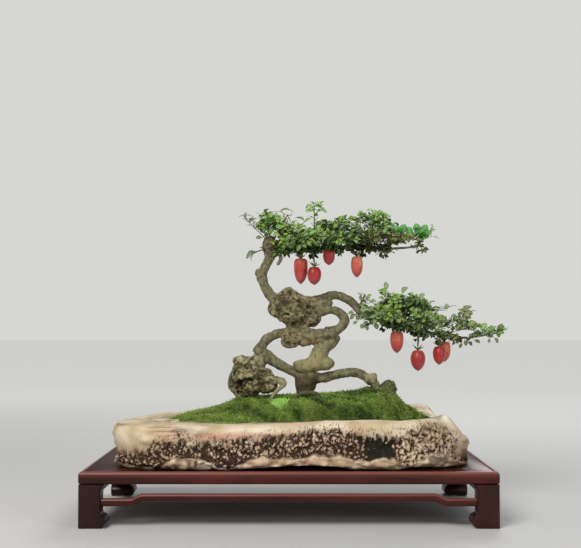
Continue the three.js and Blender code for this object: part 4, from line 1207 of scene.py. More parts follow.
LIMBS = [  # stations of place and radius along each limb
    [(21, 5, 106, 11), (21, 4, 128, 10), (20, 3, 150, 11), (21, 2, 160, 13.5), (22, 0, 171, 15),
     (26, -3, 181, 13)],
    [(62, -3, 227, 7), (56, -3, 218, 8), (46, -5, 211, 9.5), (39, -8, 202, 11.5), (35, -9, 192, 11)],
    [(34, -4, 256, 6.5), (43, -8, 258, 5.8), (56, -11, 260, 5.4), (67, -12, 256, 6), (72.5, -12, 246, 6.6),
     (66, -11, 236, 6), (54, -10, 230.5, 6.6), (40, -9, 228, 7.6), (27, -8, 228, 8.5), (14, -4, 230, 8),
     (0, -3, 231, 7), (-14, -1, 229, 6.2), (-29, 1, 222, 6.5), (-36, 2, 213, 7), (-41, 2, 203, 8.5)],
    [(-36, 4, 203, 9), (-29, 5, 199, 8.5), (-17, 6, 191, 7), (-5, 6, 184, 6.2), (6, 5, 179, 6.5),
     (18, 3, 175, 7)],
    [(32, 2, 172, 8), (42, 0, 171, 6.8), (56, -2, 174, 6.2), (74, -4, 178, 6.2), (88, -5, 178, 6),
     (101, -6, 172, 5.6), (110, -6, 166, 6), (115, -5, 156, 5), (117, -4, 144, 4)],
    [(2, 0, 268, 9), (-14, 0, 271, 8), (-26, 0, 281, 7), (-32.5, 0, 292, 6.6), (-36, 0, 305, 7),
     (-31.5, 0, 317, 6.3), (-25.5, 1, 329, 6.6), (-25, 1, 340, 8.5), (-25, 0, 356, 6.5)],
    [(28, 2, 269, 9), (44, 3, 274, 7.6), (59, 4, 280, 5.8), (73, 4, 276.5, 5.4), (85, 3, 268, 5.3),
     (96, 2, 256, 5.1), (110, 1, 250, 4.6), (131, -2, 245, 3.8), (153, 0, 239, 3.2), (179, 3, 232, 2.3),
     (206, 0, 226, 1.8), (232, -2, 224, 1.4), (258, 0, 227, 1.1), (274, 2, 230, 0.9)],
    [(-22, 1, 347, 5.5), (-10, 1, 344, 4.6), (2, 0, 341, 4), (16, -2, 339, 3.7), (40, 0, 340, 3.2),
     (70, 3, 343, 2.8), (100, 0, 342, 2.3), (130, -3, 341, 1.9), (160, -1, 343, 1.5), (178, 0, 347, 1.2)],
    [(-45, 6, 158, 7), (-50, 10, 140, 5), (-58, 14, 118, 3.5)],
    [(16, 6, 118, 7), (-4, 12, 108, 5), (-26, 16, 103, 3)],
    [(26, 4, 118, 7), (48, 8, 108, 5), (72, 12, 103, 3)],
    [(-22, -3, 338, 4.5), (-13, -5, 334, 3), (-11, -6, 327, 2.5), (-15, -6, 320, 2)],
    [(-26, -10, 170, 5.5), (-17, -14, 170.5, 4.4), (-9, -16, 168, 3.8), (-6, -17, 164, 3.3),
     (-11, -18, 159.5, 3), (-17, -19, 154, 2.7), (-23, -20, 146, 2.5), (-26, -20, 138, 2.3)],
]
LOWER_LIMB, UPPER_LIMB = 6, 7  # which of them are the two long branches

# %% Thin roots and fruits
THIN_ROOTS = [  # the same for the roots that stay tubes
    [(-66, -6, 188, 2.4), (-71, -8, 184, 1.9), (-77, -9, 173, 1.7), (-78, -9, 160, 1.7),
     (-70, -9, 151, 1.9), (-64, -8, 142, 1.9)],
    [(3, -24, 141, 2), (9, -26, 148.5, 2.3), (15, -27, 152, 2.5), (22, -27, 153.5, 2.6),
     (30, -27, 153.5, 2.5), (36, -26, 151.5, 2.3), (41, -25, 146, 2)],
]
FRUITS = [  # middle of the top, length, width, first points of the spur
    ((15.2, -13, 327.5), 34.5, 18, [(14, -2, 339), (15, -10, 338)]),
    ((32.6, -25, 316), 24.5, 19, [(29, 0, 339), (30, -16, 337), (31.5, -24, 331)]),
    ((52, -14, 338.2), 20.5, 15.5, [(50, 1, 341), (52, -8, 346)]),
    ((88.7, -11, 330.3), 28.5, 16, [(88, 1, 343), (89, -7, 341)]),
    ((140.4, -13, 232.7), 29.5, 18, [(141, -1, 242), (142, -9, 242)]),
    ((167.5, -15, 208), 28, 19, [(168, 2, 235), (169, -11, 233), (168.5, -15, 225)]),
    ((195.3, -14, 213), 25, 16.5, [(196, 1, 228), (197, -9, 227)]),
    ((205.3, 9, 219), 28, 17, [(206, 1, 226), (207, 6, 229)]),
]
for (x, y, z), _, _, spur in FRUITS:
    spur.append((x, y, min(spur[-1][2] - 2, z + 6)))

# %% [markdown]
# ### A limb
#
# A limb's middle line is a smooth curve through its stations, spaced so that it doesn't overshoot where
# stations are close. A ring is carried along it without twisting. Two things make it wood and not pipe:
# the slow bulge that the CAD tube has too, and shallow furrows that run with the limb and wind a little.

# %% Limb builder
def flowing(stations, step):
    """Points of place and radius every step millimetres along a smooth curve through the stations."""
    s = np.array(stations, float)
    s = np.concatenate([[2 * s[0] - s[1]], s, [2 * s[-1] - s[-2]]])
    gaps = np.sqrt(np.linalg.norm(np.diff(s[:, :3], axis=0), axis=1))
    run = []
    for i in range(1, len(s) - 2):
        a, b, c = gaps[i - 1 : i + 2]
        first = b * ((s[i] - s[i - 1]) / a - (s[i + 1] - s[i - 1]) / (a + b) + (s[i + 1] - s[i]) / b)
        last = b * ((s[i + 1] - s[i]) / b - (s[i + 2] - s[i]) / (b + c) + (s[i + 2] - s[i + 1]) / c)
        pieces = max(2, round(np.linalg.norm(s[i + 1, :3] - s[i, :3]) / step))
        t = np.linspace(0, 1, pieces, endpoint=False)[:, None]
        ends = (2 * t**3 - 3 * t**2 + 1) * s[i] + (-2 * t**3 + 3 * t**2) * s[i + 1]
        run.append(ends + (t**3 - 2 * t**2 + t) * first + (t**3 - t**2) * last)
    return np.concatenate([*run, s[-2:-1]])


def limb(stations, sides=28, step=1.6, furrow=0.05, overrun=0.4):
    line = flowing(stations, step)
    centre, radius = line[:, :3], np.maximum(line[:, 3], 0.2)
    tangent = np.gradient(centre, axis=0)
    tangent /= np.linalg.norm(tangent, axis=1, keepdims=True)
    normal = np.cross(tangent[0], (0.31, 0.87, 0.38))
    turn = np.linspace(0, 2 * np.pi, sides, endpoint=False)
    rings = []
    for i, middle in enumerate(centre):
        normal = normal - tangent[i] * (normal @ tangent[i])
        normal /= np.linalg.norm(normal)
        other = np.cross(tangent[i], normal)
        out = np.cos(turn)[:, None] * normal + np.sin(turn)[:, None] * other
        beside = middle + 9 * out
        bulge = 1 + 0.09 * unevenness(beside[:, 0], beside[:, 1], middle[2], WAVE["limb"])
        wind = turn * 5 + 0.05 * i * step
        bulge += furrow * (np.sin(wind) + 0.6 * np.sin(1.8 * wind + 2 + 0.03 * i * step))
        rings.append(middle + out * (radius[i] * bulge)[:, None])
    start = centre[0] - tangent[0] * radius[0] * overrun
    stop = centre[-1] + tangent[-1] * radius[-1] * overrun
    return skin(rings, start, stop)


# %% [markdown]
# ### Burls
#
# A burl is wood that has healed over itself again and again, so its surface is a crowd of small knobs
# with crevices between them. The ball takes the same slow swelling as in CAD. The small knobs come after
# the remesh, where they can run across the joint between a burl and its limbs.

# %% Rough body of the wood
VOXEL = 0.96
trunk_parts = [limb(stations) for stations in LIMBS]
for centre, half, knotty in KNOBS:
    points, faces = ball(centre, np.array(half, float))
    swell = 1 + 0.08 * unevenness(*points.T, WAVE["knob"]) + 0.11 * knotty * cloud(points, 13, 120, 2)
    trunk_parts.append(((points - centre) * swell[:, None] + centre, faces))
trunk = new_piece("trunk_fine", *combined(trunk_parts), outwards=False)
remesh = trunk.modifiers.new("fuse", "REMESH")
remesh.mode = "VOXEL"
remesh.voxel_size = VOXEL / 1000
trunk.modifiers.new("soften", "SMOOTH").iterations = 2
fused = bpy.data.meshes.new_from_object(trunk.evaluated_get(bpy.context.evaluated_depsgraph_get()))
trunk.modifiers.clear()
trunk.data = fused
print("fused wood", triangles(trunk), "triangles")

# %% [markdown]
# ### Bark relief
#
# First the joints between balls and limbs are relaxed: each point moves towards the middle of its
# neighbours, again and again, except on the thinnest parts. Then every point moves along its own normal.
# Near the burls, grains of three sizes raise small knobs with crevices between them. Elsewhere the bark is
# only lined and faintly pitted, and the broad foot in the middle is nearly smooth. A few deep hollows are
# pressed in where the photo shows dark holes. The depth is kept as numbers, so that the finish can paint
# shade into the crevices, lines and hollows, and a highlight on the knobs.

# %% Relaxed joints
HOLLOWS = [  # middle and reach of each dark hollow, on the front of the wood
    ((26, -16, 264), 5.5), ((-64, -12, 166), 7), ((-50, -19, 170), 5), ((-3, -19, 254), 3.5),
    ((-24, -17, 176), 3.5), ((-46, -18, 181), 3.5), ((12, -17, 272), 3), ((-58, -16, 171), 5),
]


def relaxed(points, edges, weight, rounds):
    """Points drawn towards the middle of their neighbours, round after round."""
    start, stop = edges.T
    count = len(points)
    neighbours = np.bincount(edges.ravel(), minlength=count)[:, None]
    for _ in range(rounds):
        ends = [np.bincount(start, at[stop], count) + np.bincount(stop, at[start], count) for at in points.T]
        points = points + weight[:, None] * (np.stack(ends, axis=1) / neighbours - points)
    return points


def move_wood(points):
    trunk.data.vertices.foreach_set("co", to_frame(points).ravel())
    trunk.data.update()


wood = 1000 * numbers(trunk.data, "vertices", "co", 3) - (table_middle, 0, 0)
x, y, z = wood.T
thick_part = within(x, -85, 80, 10) * ease(-z, -300, -285) * ease(z, 150, 158)
thick_part *= ease(np.linalg.norm((wood - (-15, -19, 150)) * (1, 1, 0.6), axis=1), 13, 17)
wood = relaxed(wood, numbers(trunk.data, "edges", "vertices", 2, np.int32), 0.6 * thick_part, 12)
move_wood(wood)

# %% Bark relief
facing = numbers(trunk.data, "vertices", "normal", 3)
knotty = np.zeros(len(wood))
for centre, half, share in KNOBS:
    off = (wood - centre) / (np.array(half, float) * 1.12)
    knotty = np.maximum(knotty, share * (1 - ease(np.linalg.norm(off, axis=1), 0.85, 1.25)))
x, y, z = wood.T
tip_thin = np.clip(ease(x, 120, 180) + ease(x, 30, 90) * ease(z, 300, 320), 0, 1)
knob_away, _, knob_number = grains(wood + 1.2 * cloud(wood, 8, 150)[:, None], 3.5, 151)
bead_away = grains(wood, 2.1, 161)[0]
lump_away = grains(wood + 1.5 * cloud(wood, 10, 153)[:, None], 8, 154)[0]
height = 1.3 * (0.55 - knob_away) + 0.5 * (0.5 - bead_away) + 2.3 * (0.55 - lump_away)
height = knotty * (height + 1.2 * cloud(wood, 9, 152) - 0.9 * (knob_number > 0.92))
raised = np.clip(0.45 + 0.28 * height, 0, 1)
lined = cloud(wood * (1, 1, 0.3), 2.6, 170, 2)
crown = near((x, -25, 14), (z, 347, 14))
height += (1 - knotty) * (1 - 0.7 * tip_thin) * ((0.34 + 0.5 * crown) * lined + 0.5 * cloud(wood, 8, 171, 2))
hollow = np.zeros(len(wood))
for centre, wide in HOLLOWS:
    away = np.linalg.norm((wood - centre) * (0.75, 0.5, 1.2), axis=1)
    hollow = np.maximum(hollow, 1 - ease(away + 1.6 * cloud(wood, 4, 172), 0.3 * wide, wide))
height -= 3.6 * hollow
move_wood(wood + facing * height[:, None])
trunk.data.shade_smooth()

# %% Bark zones
# painted shade in the crevices between knobs and in the lines of the bark
crevice = ease(knob_away, 0.55, 0.85) + 0.4 * ease(bead_away, 0.5, 0.8) + 0.6 * ease(lump_away, 0.62, 0.85)
crevice = np.clip(knotty * crevice, 0, 1)
crevice = np.maximum(crevice, 0.5 * (1 - knotty) * ease(-lined, 0.3, 0.8))
# painted shade on the thin end of the lower branch
crevice = np.maximum(crevice, 0.6 * ease(x, 190, 215))
bar = 1.2 * within(x, -8, 46, 6) * within(z, 209, 228, 4) * ease(-y, 0, 5)
under_foot = within(x, 4, 40, 5) * within(z, 150, 174, 5)
pale_lobe = near((x, -60, 15), (z, 193, 9)) + 0.6 * near((x, 108, 9), (z, 169, 9))
pale_lobe += 0.5 * within(x, -24, 2, 2) * ease(-y, 12, 15) * within(z, 140, 176, 4)
zones = {
    "knotty": knotty,
    "crevice": crevice,
    "hollow": hollow,
    "raised": raised,
    "bar": np.clip(bar * knotty, 0, 1) * (1 - crevice),
    "foot": np.clip(1.3 * near((x, 32, 26), (z, 194, 17)), 0, 1),
    "red": np.clip(0.8 * under_foot + 0.6 * crown, 0, 1),
    "pale": np.clip(pale_lobe, 0, 1),
    "mossy": np.clip(ease(-z, -165, -135) + 0.5 * ease(cloud(wood, 14, 175), 0.2, 0.8), 0, 1),
}

# %% Bark finish
bark = Finish("old_pitted_bark", 0.8, Specular_IOR_Level=0.2)
vein, dust = bark.noise(210, 5), bark.noise(900, 4)
lightness = bark.ranged(vein, 0.35, 0.65)
# knob tops painted paler as a painted highlight, over a random tone
tone_and_knob_highlight = bark.ranged(bark.plus(bark.times(lightness, 0.4), bark.times("raised", 0.8)), 0.2, 0.95)
old_bark = bark.layers(
    bark.blend(lightness, (88, 85, 62), (137, 132, 103)),
    ("knotty", bark.blend(tone_and_knob_highlight, (70, 62, 40), (176, 164, 124))),
    ("foot", bark.blend(vein, (112, 106, 70), (172, 165, 120))),
    ("bar", bark.blend(vein, (88, 72, 55), (176, 156, 126))),
    ("red", bark.blend(vein, (46, 34, 26), (84, 66, 50))),
    (bark.times("mossy", 0.45), (94, 98, 54)),
    (bark.times("pale", 0.55), (196, 190, 156)),
    (bark.ranged(dust, 0.56, 0.72, 0, 0.5), (58, 50, 35)),
    # painted shade in crevices and bark lines
    (bark.times("crevice", 0.85), (40, 33, 22)),
    # painted shade: the hollows nearly black
    ("hollow", (18, 14, 10)),
)
bark.colour(old_bark)
beads = bark.times(bark.ranged(bark.cells(430), 0, 0.7, 1, 0), "knotty")
bark.relief(bark.plus(bark.plus(dust, vein), beads), 0.9, 0.8)
trunk.data.materials.clear()
trunk.data.materials.append(bark.material)
for name, values in zones.items():
    store(trunk, name, values)
hand_over(trunk, "bark", "trunk")

# %% [markdown]
# ### Thin roots and spurs
#
# The roots that arch out of the moss are no thicker than a pencil lead, and the spurs that carry the
# fruit are thinner still. A voxel skin would swallow them, so they stay tubes with their ends in the wood.

# %% Thin roots and spurs
SPUR_RADIUS = 1.1
thin = [limb(stations, 16, 1.5, 0.09) for stations in THIN_ROOTS]
thin += [limb([(*p, SPUR_RADIUS) for p in spur], 12, 0.8, 0.05) for _, _, _, spur in FRUITS]
points, faces = combined(thin)
roots = new_piece("thin_roots_and_spurs", points, faces, bark.material, sharp=180)
x, y, z = np.array(points).T
bare_wood = 1 - np.clip(0.6 + 0.4 * cloud(points, 8, 180), 0, 1)
in_moss = within(z, 100, 162, 2) * (x > -20)
store(roots, "mossy", np.maximum(0.5 * bare_wood, in_moss))
# painted shade where the roots lie in the moss, with random darker patches on bare wood
store(roots, "crevice", np.maximum(0.4 * bare_wood, 0.5 * in_moss))
hand_over(roots, "bark", "trunk")

# %% [markdown]
# ## Fruit
#
# The fruit is drop-shaped: a shoulder under the calyx, the widest place above the middle, and a small dry
# point. No two are alike, so each gets its own shoulders, its own slight swelling and its own tint between
# orange and red. The skin is thin and waxy, with a soft gloss, and pales towards its point. Where the
# skin turns away from the view, its rim gets a painted sheen.

# %% Fruit skins
PROFILE = np.array([  # half width and way down
    (0.3, 0), (0.62, 0.012), (0.84, 0.05), (0.97, 0.14), (1, 0.28), (0.985, 0.46), (0.92, 0.62), (0.77, 0.77),
    (0.54, 0.88), (0.3, 0.95), (0.1, 0.99), (0.05, 1),
])
BROAD_SHOULDERS = [1, 0.25, 0.9, 0.6, 0.7, 0.1, 0.3, 0.6]
ORANGE = [0.15, 0.0, 0.1, 1.0, 0.5, 0.1, 0.0, 0.9]
DEEP_RED = [0.2, 0.6, 0.3, 0.0, 0.0, 1.0, 0.5, 0.0]

peel = Finish("waxy_persimmon_skin", 0.42, Coat_Weight=0.12, Coat_Roughness=0.3, Specular_IOR_Level=0.4)
peel.see_into(0.12, 0.004, 0.0012, 0.0006)
freckle, flush = peel.noise(1100, 3), peel.ranged(peel.noise(120, 3), 0.35, 0.65)
red = peel.layers(peel.blend(flush, (164, 36, 38), (188, 62, 58)), ("depth", (148, 28, 36)))
amber = peel.blend(flush, (238, 124, 92), (252, 168, 132))
painted_rim_sheen = add(peel.tree, "ShaderNodeLayerWeight", {"Blend": 0.3}).outputs["Facing"]
body = peel.layers(
    red,
    (peel.times("tint", peel.ranged("down", 0.1, 0.75, 1, 0.1)), amber),
    (peel.ranged("down", 0.55, 1.0, 0, 0.6), (182, 100, 106)),
    # painted sheen: paler where the skin turns away from the view
    (peel.ranged(painted_rim_sheen, 0.2, 0.85, 0, 0.75), (226, 158, 148)),
    (peel.ranged(freckle, 0.62, 0.75, 0, 0.35), (222, 140, 116)),
)
peel.colour(body)
peel.relief(freckle, 0.1, 0.5)


def fruit(number, top, long, wide, sides=40, rows=34):
    down = 0.5 - 0.5 * np.cos(np.linspace(0.05, 1, rows) * np.pi)
    half = np.interp(down, PROFILE[:, 1], PROFILE[:, 0])
    half *= 1 - (1 - BROAD_SHOULDERS[number - 1]) * 0.3 * np.clip(1 - down / 0.36, 0, 1)
    half = np.convolve(np.pad(half, 1, mode="edge"), (0.25, 0.5, 0.25), mode="valid")
    turn = np.linspace(0, 2 * np.pi, sides, endpoint=False)
    x, y, z = top
    rings = []
    for share, across in zip(down, half):
        swell = 1 + 0.03 * np.cos(4 * turn + number) * (1 - share) + 0.025 * np.cos(2 * turn + 2 * number)
        radius = across * wide / 2 * swell
        level = np.full(sides, z - share * long)
        rings.append(np.stack([x + radius * np.cos(turn), y + radius * np.sin(turn), level], axis=1))
    points, faces = skin(rings, (x, y, z - 0.1), (x, y, z - long - 0.9))
    piece = new_piece(f"fruit_{number}_skin", points, faces, peel.material, sharp=180)
    store(piece, "down", [(z - p[2]) / long for p in points])
    store(piece, "tint", [ORANGE[number - 1]] * len(points))
    store(piece, "depth", [DEEP_RED[number - 1]] * len(points))
    return piece


for number, (top, long, wide, _) in enumerate(FRUITS, 1):
    hand_over(fruit(number, top, long - 1, wide), "fruit", f"fruit_{number}")

# %% [markdown]
# ## Calyxes
#
# Each fruit hangs from four narrow sepals on a thin stalk. By autumn they are dry: olive to brown, their
# tips curled up. One sepal is a folded blade along a curve that runs out over the shoulder and lifts at
# its end, and four of them turned by a quarter, with the stalk, make the calyx.

# %% Calyx builder
CALYX = {"turn": 0.4, "reach": 8.8, "wide": 3.2, "rise": 6.2, "seat": 0.45}
dry_green = Finish("drying_sepals", 0.75, Specular_IOR_Level=0.2)
sepal_tone = dry_green.ranged(dry_green.noise(260, 4), 0.35, 0.65)
dry_green.colour(dry_green.blend(sepal_tone, (80, 76, 38), (138, 150, 78)))
dry_green.relief(dry_green.noise(1500, 3), 0.3, 0.6)


def sepal(turn, number):
    along = np.linspace(0, 1, 9)
    out = CALYX["reach"] * along * (1 + 0.1 * math.sin(3.1 * number + 5 * turn))
    rise = CALYX["rise"] * along**2.2 * (1 + 0.3 * math.sin(1.7 * number + 3 * turn))
    rise += 1.2 * np.sin(np.pi * along) * 0.4
    half = CALYX["wide"] / 2 * np.sin(np.pi * np.clip(along * 0.86 + 0.14, 0, 0.985)) ** 0.8
    rings = []
    for x, z, wide in zip(out, rise, half):
        edge = z + 0.5 * wide
        rings.append([(x, -wide, edge), (x, 0, z + 0.28), (x, wide, edge), (x, 0, z - 0.2)])
    c, s = math.cos(turn), math.sin(turn)
    points, faces = skin(rings)
    return [(c * x - s * y, s * x + c * y, z) for x, y, z in points], faces


def calyx(number, top, spur):
    seat = np.array(top) + (0, 0, CALYX["seat"])
    parts = []
    for k in range(4):
        points, faces = sepal(CALYX["turn"] + k * math.pi / 2 + 0.1 * math.sin(number + k), number)
        parts.append((np.array(points) + seat, faces))
    stalk = [(*(seat + (0, 0, up)), radius) for up, radius in ((-0.6, 1.9), (0.8, 1.2), (1.8, 0.7))]
    parts.append(limb([*stalk, (*spur[-1], 0.85)], 12, 0.5, 0.04))
    return new_piece(f"calyx_{number}_sepals", *combined(parts), dry_green.material, sharp=60)


for number, (top, _, _, spur) in enumerate(FRUITS, 1):
    hand_over(calyx(number, top, spur), "calyx", f"calyx_{number}")

# %% [markdown]
# ## Leafy sprays
#
# A spray is a shoot with its leaves. The CAD source gives each one a shoot and a few large leaves, placed
# by a rule with seeded chance numbers. The same rule runs here, and a leaf that the source dropped for
# want of room is recognised by its missing end, so that the detailed leaves come out where the source
# has its own. Finer side twigs then fill the pad to its outline, as years of pinching do on a real tree.

# %% Sprays of the source
SPRAY_TERMS = ("root", "tip", "leaves", "leaf", "bare")
UPPER_SPRAYS = [  # root, tip, leaves, length of a leaf, and the bare share of the shoot if it is unusual
    ((-30, -3, 353), (-60, -6, 383), 7, 14, 0.4), ((-26, 0, 358), (-31, -8, 389), 8, 16),
    ((-20, 3, 354), (-2, 8, 387), 8, 16), ((-32, -2, 340), (-50, -9, 332), 3, 14, 0.4),
    ((4, 0, 341), (12, -16, 368), 8, 16), ((2, 0, 341), (22, -50, 352), 9, 16),
    ((12, 0, 340), (30, 52, 360), 9, 16), ((34, 0, 341), (33, -3, 398), 9, 14, 0.4),
    ((44, 0, 340), (64, -52, 351), 9, 16), ((54, 1, 341), (76, 52, 361), 9, 16),
    ((60, 2, 343), (60, 12, 379), 9, 16), ((82, 1, 343), (104, -50, 353), 9, 16),
    ((92, 1, 343), (116, 48, 362), 9, 16), ((102, 0, 342), (114, -4, 387), 9, 16),
    ((122, -2, 342), (148, -34, 356), 8, 15), ((130, -2, 341), (140, 14, 377), 8, 16),
    ((168, -1, 345), (188, -3, 366), 7, 15),
]
LOWER_SPRAYS = [
    ((92, 2, 262), (99, -8, 280), 6, 14), ((124, -1, 247), (130, -6, 283), 9, 15),
    ((112, 0, 249), (128, -44, 250), 9, 15), ((132, -2, 245), (152, 42, 262), 9, 15),
    ((152, 0, 239), (160, 6, 279), 9, 15), ((158, 1, 238), (178, -40, 244), 9, 15),
    ((176, 3, 233), (188, 20, 270), 8, 15), ((210, -1, 226), (231, -8, 258), 8, 14),
    ((258, 0, 228), (278, -2, 234), 7, 14),
]
SPRAYS = {
    f"{pad}_spray_{i}": dict(zip(SPRAY_TERMS, row))
    for pad, rows in (("upper", UPPER_SPRAYS), ("lower", LOWER_SPRAYS))
    for i, row in enumerate(rows, 1)
}
USUAL_BARE = 0.12

# %% The source's rule for shoots and leaves
GOLDEN_ANGLE = math.radians(137.5)
FIRST_SEED = 100
WORD = 0xFFFFFFFF


def unit(vector):
    return np.asarray(vector, float) / np.linalg.norm(vector)


def chances(seed):
    """The source's run of chance numbers."""
    state = seed
    while True:
        state = (state + 0x6D2B79F5) & WORD
        mixed = (state ^ (state >> 15)) * (state | 1) & WORD
        mixed = ((mixed + ((mixed ^ (mixed >> 7)) * (mixed | 61) & WORD)) & WORD) ^ mixed
        yield (mixed ^ (mixed >> 14)) / (WORD + 1)


def bent(start, middle, end, t):
    """The place at t on a curve from start to end that is drawn towards middle."""
    return (1 - t) ** 2 * start + 2 * t * (1 - t) * middle + t**2 * end


def shoot_at(spray, t):
    """Place on a spray's shoot, and its direction there."""
    root, tip = np.array(spray["root"], float), np.array(spray["tip"], float)
    middle = (root + tip) / 2
    if abs(tip[2] - root[2]) < 25:
        middle[2] += 0.12 * np.linalg.norm(tip - root)
    middle[1] += 0.1 * (tip[0] - root[0])
    return bent(root, middle, tip, t), unit(2 * (1 - t) * (middle - root) + 2 * t * (tip - middle))


def leaf_frame(forward, around, lean, face_x, face_y, upright=0.12):
    """Direction of a leaf's midrib and of its upper face."""
    side = np.array((forward[1], -forward[0], 0))
    side = unit(side) if np.linalg.norm(side) >= 0.2 else np.array((1.0, 0, 0))
    over = np.cross(side, forward)
    along = forward * math.cos(lean) + math.sin(lean) * (side * math.cos(around) + over * math.sin(around))
    along = unit(along * (1, 1, 0.6) + (0, 0, upright))
    face = np.array((face_x, face_y - 0.3, 1))
    return along, unit(face - along * (face @ along))


def source_leaves(name, spray, seed):
    """Leaves that the CAD node really has: root, midrib, face and length of each."""
    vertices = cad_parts[name].data.vertices
    known = KDTree(len(vertices))
    for i, vertex in enumerate(vertices):
        known.insert(vertex.co, i)
    known.balance()
    draw = chances(seed)
    bare = spray.get("bare", USUAL_BARE)
    found = []
    for i in range(spray["leaves"]):
        place, forward = shoot_at(spray, bare + (1 - bare) * (i + 0.6) / spray["leaves"])
        around = i * GOLDEN_ANGLE + (next(draw) - 0.5) * 0.6
        lean = 0.85 + 0.35 * next(draw)
        face_x, face_y = (next(draw) - 0.5) * 1.5, (next(draw) - 0.5) * 1.5
        long = spray["leaf"] * (0.82 + 0.4 * next(draw))
        along, face = leaf_frame(forward, around, lean, face_x, face_y)
        rise = long * 0.09 * math.sin(math.pi * 0.96)
        tip, half = place + along * 0.96 * long, np.cross(face, along) * 0.4 * long * 0.64 / 2
        ends = [tip + half * across + face * (rise + up) for across in (-1, 1) for up in (-0.35, 0.35)]
        if min(known.find(to_frame(end))[2] for end in ends) < 2e-4:
            found.append((place, along, face, long))
    return found


source = {}
for seed, (name, spray) in enumerate(SPRAYS.items(), FIRST_SEED):
    source[name] = source_leaves(name, spray, seed)
print("leaves found in the source's sprays:", {name: len(found) for name, found in source.items()})

# %% [markdown]
# ### Pads of foliage
#
# Each branch carries one pad: flat below, cloudy above, with gaps where single twigs stand free. Its
# outline is a list of stations with the lowest and highest leaf. Side twigs leave a shoot by the golden
# angle, and one that would end outside the pad is bent back into it. Leaves then sit along each twig in
# turn, left and right, with a tuft at its tip, and none is put inside a fruit or hangs in front of it.

# %% Outlines of the pads
UPPER_PAD = np.array([  # along the branch, lowest and highest leaf
    (-36, 350, 371), (-32, 348, 379), (-25, 348, 385), (-16, 347, 378), (-8, 342, 371), (2, 338, 362),
    (14, 336, 359), (24, 336, 362), (33, 338, 367), (42, 339, 375), (58, 339, 377), (74, 338, 379),
    (87, 338, 382), (95, 338, 386), (120, 338, 386), (126, 339, 380), (131, 340, 366), (136, 341, 359),
    (151, 342, 356), (160, 343, 360), (170, 346, 362), (177, 350, 358),
])
LOWER_PAD = np.array([
    (84, 244, 256), (93, 242, 262), (101, 241, 264), (113, 241, 256), (120, 240, 262), (126, 240, 267),
    (133, 238, 273), (146, 229, 276), (153, 222, 275), (163, 221, 277), (172, 220, 272), (179, 220, 268),
    (186, 220, 258), (194, 220, 250), (207, 219, 246), (219, 214, 243), (238, 214, 240), (250, 219, 237),
    (267, 222, 235), (278, 224, 237), (286, 227, 236),
])
HALF_DEEP = 60


def span(pad, x):
    """Height of the lowest and of the highest leaf at places along a pad."""
    return [np.interp(x, pad[:, 0], pad[:, k]) for k in (1, 2)]


def into_pad(place, pad):
    """The place, brought inside the pad's outline."""
    x, y, z = place
    x = float(np.clip(x, pad[0, 0], pad[-1, 0]))
    low, high = span(pad, x)
    thin = abs(y) / HALF_DEEP
    high = low + (high - low) * (1 - 0.75 * min(1, thin) ** 2.2)
    return np.array((x, y * min(1, 1 / max(thin, 1e-6)), float(np.clip(z, low, max(high, low + 2)))))


# %% Side twigs inside the pads
LEAF_LIMITS = (283, 402)  # farthest right and highest that a leaf on a side twig may reach
chance = np.random.default_rng(2)


def in_fruit(place):
    for top, long, wide, _ in FRUITS:
        away = (place - np.array(top) + (0, 0, long / 2)) / (wide / 2 + 3, wide / 2 + 2.5, long / 2 + 1.5)
        away[1] *= away[1] > 0
        if np.linalg.norm(away) < 1:
            return True
    return False


def twig_with_leaves(place, end, lift, leaves, long):
    """A twig as a line of points, and its leaves."""
    bend = (place + end) / 2 + (0, 0, lift)
    line = [bent(place, bend, end, t) for t in np.linspace(0, 1, 5)]
    found = []
    for i in range(leaves):
        t = min(1, 0.25 + 0.75 * (i + 0.5) / (leaves - 3))
        at = bent(place, bend, end, t)
        heading = unit((1 - t) * (bend - place) + t * (end - bend) + (0, 0, 1e-3))
        around = i * GOLDEN_ANGLE + chance.uniform(-0.5, 0.5)
        lean = chance.uniform(0.6, 1.25) * (1.15 - 0.5 * t)
        face_x, face_y = chance.uniform(-0.9, 0.9), chance.uniform(-1.5, 0.4)
        along, face = leaf_frame(heading, around, lean, face_x, face_y, chance.uniform(0.0, 0.5))
        size = long * chance.uniform(0.72, 1.2)
        tip = at + along * size
        if tip[0] < LEAF_LIMITS[0] and tip[2] < LEAF_LIMITS[1] and not in_fruit(at + along * size * 0.6):
            found.append((at, along, face, size))
    return line, found


def side_twigs(spray, pad, count, leaves, long):
    """Twigs of a shoot inside its pad, and all their leaves."""
    twigs, found = [], []
    bare = spray.get("bare", USUAL_BARE)
    for k in range(count):
        place, forward = shoot_at(spray, min(1, bare + (1 - bare) * (k + chance.random()) / count))
        turn = k * GOLDEN_ANGLE + chance.uniform(-0.4, 0.4)
        out = unit(0.55 * forward + (math.cos(turn), 0.85 * math.sin(turn), chance.uniform(-0.3, 0.6)))
        end = into_pad(place + out * chance.uniform(13, 27), pad)
        line, some = twig_with_leaves(place, end, chance.uniform(0.5, 3), leaves, long)
        twigs.append(line)
        found += some
    return twigs, found


def low_twigs(spray, branch, count, leaves, long):
    """Short twigs round the main branch near a spray's root, which hide it from the front."""
    twigs, found = [], []
    beside = branch[np.abs(branch[:, 0] - spray["root"][0]) < 13]
    for k in range(count):
        place = beside[chance.integers(len(beside))]
        out = (chance.uniform(-0.7, 0.7), math.sin(k * GOLDEN_ANGLE) - 0.35, chance.uniform(-0.45, 0.25))
        line, some = twig_with_leaves(place, place + unit(out) * chance.uniform(7, 14), 1.5, leaves, long)
        twigs.append(line)
        found += some
    return twigs, found


# %% [markdown]
# ### Leaves that stand out
#
# A few leaves stand clear of the pads, and the eye knows the tree by them: a tuft high over the middle,
# narrow ones seen from the edge at the left, large young ones at the right end, pale upright tips on the
# lower pad. Each is given by its place, its direction, its length, how far it faces the front, and how
# grey it is. A thin twig ties it to its shoot.

